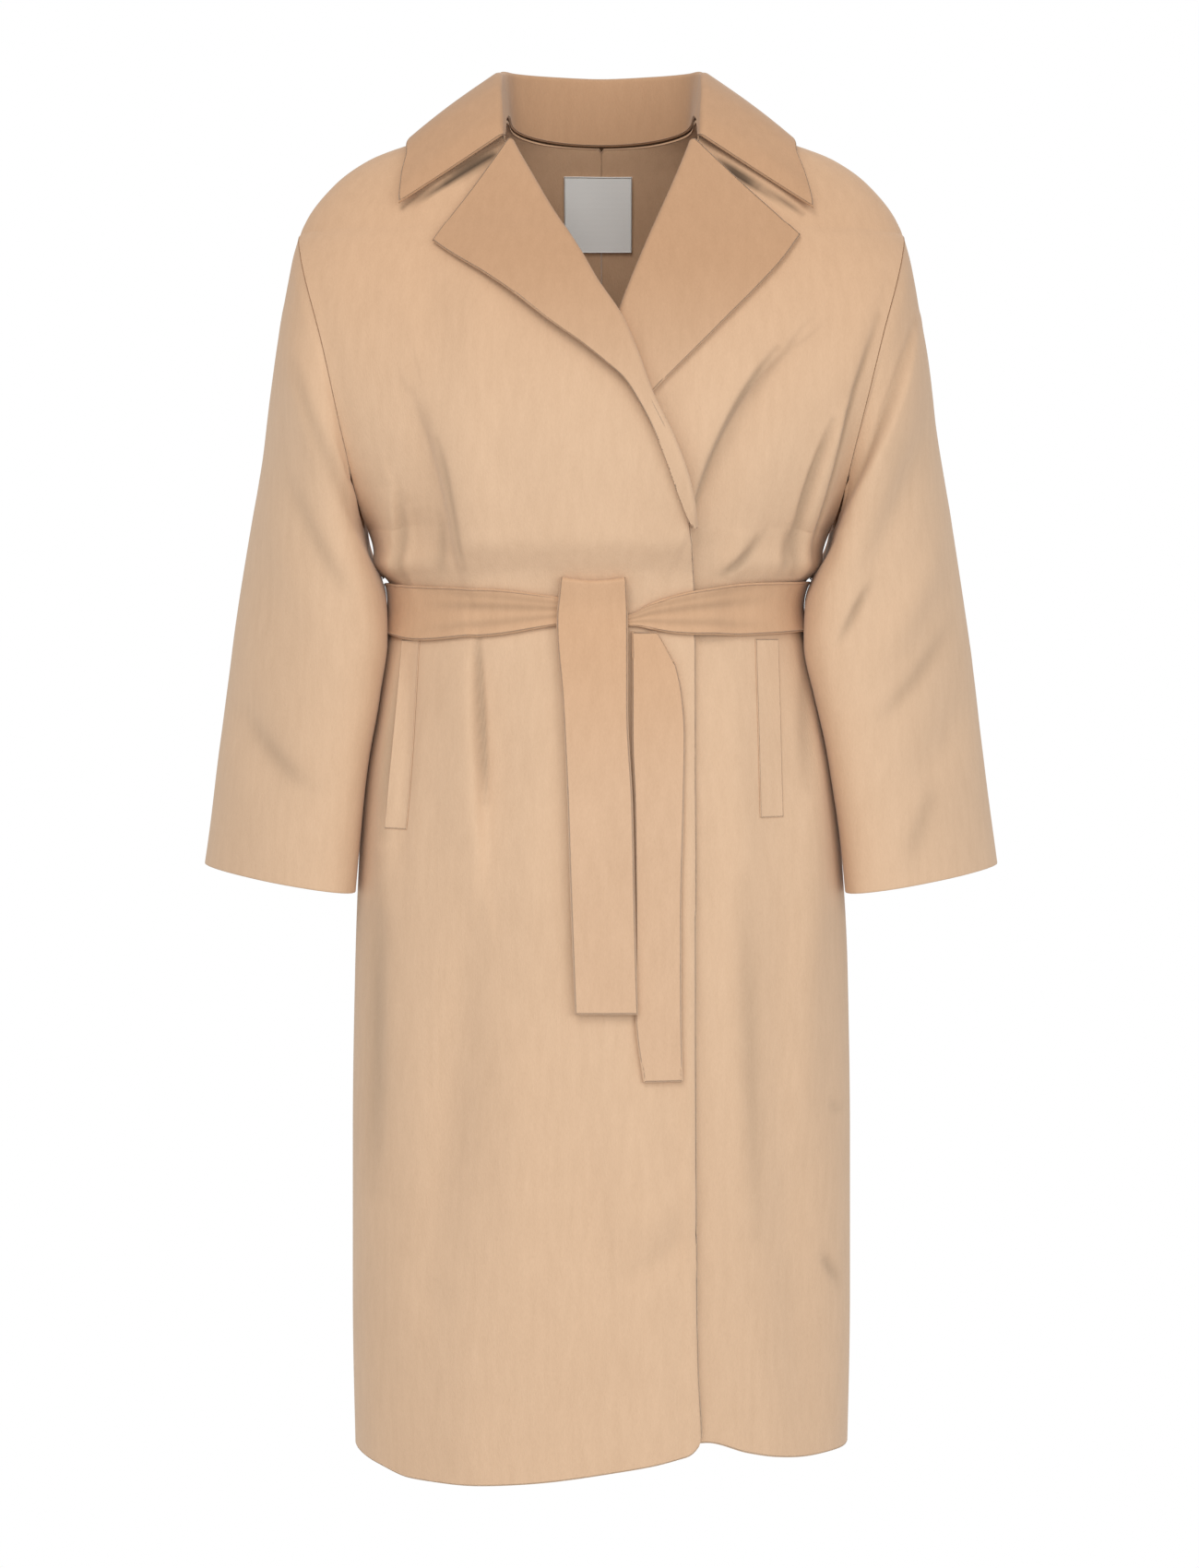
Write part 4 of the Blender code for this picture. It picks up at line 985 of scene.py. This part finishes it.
# Soft creases that fan out from the knot along the belt: troughs at slowly changing heights.
def beltCrease(turn, across):
    fromKnot = np.clip((180 - np.abs(turn)) / 60, 0, 1)
    fade = (1 - rise(fromKnot, 0.5, 1.0)) * rise(fromKnot, 0.02, 0.12)
    total = 0
    troughs = (-0.9, 0.55, 0.12, 0.10), (-0.7, 0.32, -0.16, 0.08), (-0.6, 0.74, 0.22, 0.07)
    for height, start, slope, width in troughs:
        middle = start + slope * fromKnot
        total = total + height * np.exp(-((across - middle) / width) ** 2)
    return total * fade


# A strip of belt that hangs on the front: a row for each height, with its own lift.
def makeStrip(name, node, z, lift, tail, wave):
    left, right = read(tail, "left", z), read(tail, "right", z)
    s = np.linspace(0, 1, belt["stripColumns"])
    x = left[:, None] * (1 - s) + right[:, None] * s
    z = z[:, None] - belt["sag"] * np.sin(np.pi * s) * rise(z[:, None], -440, -385)
    swell = wave * np.sin(z / 62 + 1.3) * (s - 0.5) * rise(-z, 450, 560)
    middle = skin(turnAt(x, z), z, -1.0, lift[:, None] + wornLift(x, z) + np.maximum(swell, 0))
    made = addSheet(name, middle, belt["wall"], beltWool, "belt_cloth", [node], rim=1.4)


# The front tail comes over the top of the knot; the back tail hangs behind it.
def makeTails():
    low = coat["wall"] + coat["lie"] + belt["ease"] + belt["wall"] / 2
    high = low + belt["wall"] + coat["lie"]
    radius = 0.5 * (high - low)
    tail = belt["tailFront"]
    top = tail["z"][0] - radius
    beta = np.linspace(0, np.pi, 14)
    down = np.linspace(top - 3, tail["z"][-1], 130)
    z = np.concatenate([np.linspace(top - 8, top - 1, 4), top + radius * np.sin(beta), down])
    lift = np.concatenate([np.full(4, low), low + radius * (1 - np.cos(beta)), np.full(len(down), high)])
    makeStrip("beltTailFront", "belt_tail_front", z, lift, tail, 1.2)
    tail = belt["tailBack"]
    z = np.linspace(tail["z"][0], tail["z"][-1], 130)
    lift = np.full(len(z), low)
    makeStrip("beltTailBack", "belt_tail_back", z, lift, tail, 0.6)


makeBeltWaist()
makeTails()
print("belt made")

trims = dict(
    weltWall=1.0, weltLie=0.05, loopWall=1.2, loopHalfTurn=2.4, loopFlat=(0.010, 0.085),
    weltFlat=(0.026, 0.165),
    labelWall=1.0, labelLie=2.0, labelX=-3.0, labelTop=-22.0, labelWidth=61.0, labelHeight=66.0,
    labelFlat=(0.062, 0.067),
    welt=table("xTop zTop xFoot zFoot width", (138.5, -434, 141, -583, 20), (-160, -435, -171, -594, 15)),
)


# A narrow loop over the belt at the side seam, its ends laid on the coat.
def makeLoop(name, node, out):
    keyZ = np.array([-374.0, -379, -381, -395, -408, -422, -437, -439, -444])
    near = coat["wall"]
    far = near + coat["lie"] + belt["ease"] + belt["wall"] + coat["lie"]
    keyLift = np.array([near, near + 0.6, far, far, far, far, far, near + 0.6, near])
    count = np.linspace(0, 8, 60)
    z = smooth(count, np.arange(9.0), keyZ)
    lift = smooth(count, np.arange(9.0), keyLift)
    half = trims["loopHalfTurn"]
    turn = out * (90 + np.linspace(-half, half, 12))[None] + 0 * z[:, None]
    z = z[:, None] + 0 * turn
    inner, outer = skinRound(turn, z, lift[:, None] + 0 * turn, trims["loopWall"])
    made = addShell(name, inner, outer, beltWool, "belt_cloth", [node], rim=0.7)


# An upright strip on the front where the pocket opens, laid a little proud of it.
def makeWelt(name, node, row):
    welt = {column: values[row] for column, values in trims["welt"].items()}
    s = np.linspace(0, 1, 90)[:, None]
    z = welt["zTop"] * (1 - s) + welt["zFoot"] * s
    x = welt["xTop"] * (1 - s) + welt["xFoot"] * s
    x = x + welt["width"] * np.linspace(-0.5, 0.5, 18)
    z = z + 0 * x
    lift = coat["wall"] + trims["weltLie"] + 0 * x
    inner, outer = skin(turnAt(x, z), z, -1.0, lift, trims["weltWall"])
    made = addShell(name, inner, outer, wool, "coat_cloth", [node], rim=0.6)


# A blank label on the inside of the back.
def makeLabel():
    x = trims["labelX"] + trims["labelWidth"] * np.linspace(-0.5, 0.5, 40)[None]
    z = trims["labelTop"] - trims["labelHeight"] * np.linspace(0, 1, 44)[:, None]
    x, z = x + 0 * z, z + 0 * x
    lift = -trims["labelLie"] - trims["labelWall"] + 0 * x
    inner, outer = skin(turnAt(x, z), z, 1.0, lift, trims["labelWall"])
    made = addShell("neckLabel", inner, outer, satin, "label", ["neck_label"], rim=0.5)


makeLoop("beltLoopLeft", "belt_loop_left", 1)
makeLoop("beltLoopRight", "belt_loop_right", -1)
makeWelt("pocketWeltLeft", "pocket_welt_left", 0)
makeWelt("pocketWeltRight", "pocket_welt_right", 1)
makeLabel()
print("loops, welts and label made")


studio = dict(floorZ=-1.55, floorRadius=1.0, ambient=0.62, lens=79.4, cameraZ=-0.4, cameraY=-3.0,
              shift=(-0.0012, -0.1176))


# A pale round floor under the coat, below the picture's lower edge.
def makeFloor():
    angle = np.linspace(0, 2 * np.pi, 96, endpoint=False)
    ring = points(np.cos(angle), np.sin(angle), 0) * studio["floorRadius"]
    ring[:, 2] = studio["floorZ"]
    mesh = bpy.data.meshes.new("studioFloor")
    mesh.from_pydata(ring.tolist(), [], [tuple(range(len(ring)))])
    material, shader, _ = newMaterial("studio_floor")
    shader.inputs["Base Color"].default_value = (0.9, 0.9, 0.9, 1)
    shader.inputs["Roughness"].default_value = 0.9
    mesh.materials.append(material)
    floor = bpy.data.objects.new("studioFloor", mesh)
    bpy.context.collection.objects.link(floor)


# A soft box that looks at a point.
def makeLight(name, place, target, size, power, colour=(1, 1, 1)):
    light = bpy.data.lights.new(name, "AREA")
    light.shape = "RECTANGLE"
    light.size, light.size_y = size
    light.energy = power
    light.color = colour
    made = bpy.data.objects.new(name, light)
    made.location = place
    way = np.array(target) - np.array(place)
    flat = math.hypot(way[0], way[1])
    made.rotation_euler = (math.pi / 2 + math.atan2(way[2], flat), 0, math.atan2(-way[0], way[1]))
    bpy.context.collection.objects.link(made)


makeFloor()
makeLight("keyLight", (-0.9, -2.8, 2.1), (0, 0, -0.5), (1.5, 1.5), 38, (1, 0.99, 0.97))
makeLight("frontLight", (0.3, -3.4, 0.0), (0, 0, -0.3), (1.4, 1.4), 18)
makeLight("fillLight", (2.3, -2.9, 0.1), (0, 0, -0.6), (1.8, 2.2), 30, (0.95, 0.98, 1))
makeLight("sideLight", (-2.4, -2.6, 0.1), (0, 0, -0.6), (1.8, 2.2), 10)
makeLight("backLight", (0.4, 3.8, 1.0), (0, 0, -0.5), (2.4, 2.0), 50)

world = bpy.data.worlds.new("studioWorld")
world.use_nodes = True
background = world.node_tree.nodes["Background"]
background.inputs["Color"].default_value = (1, 1, 1, 1)
seen = Wire(world.node_tree).node("ShaderNodeLightPath", out="Is Camera Ray")
seen.put(background.inputs["Strength"], studio["ambient"] + seen * (1 - studio["ambient"]))
bpy.context.scene.world = world
bpy.context.scene.view_settings.view_transform = "Standard"

camera = bpy.data.cameras.new("photoCamera")
camera.sensor_fit = "AUTO"
camera.sensor_width = 36.0
camera.lens = studio["lens"]
camera.shift_x, camera.shift_y = studio["shift"]
cameraObject = bpy.data.objects.new("photoCamera", camera)
cameraObject.location = (0, studio["cameraY"], studio["cameraZ"])
cameraObject.rotation_euler = (math.radians(90), 0, 0)
bpy.context.collection.objects.link(cameraObject)
bpy.context.scene.camera = cameraObject
print("studio made")
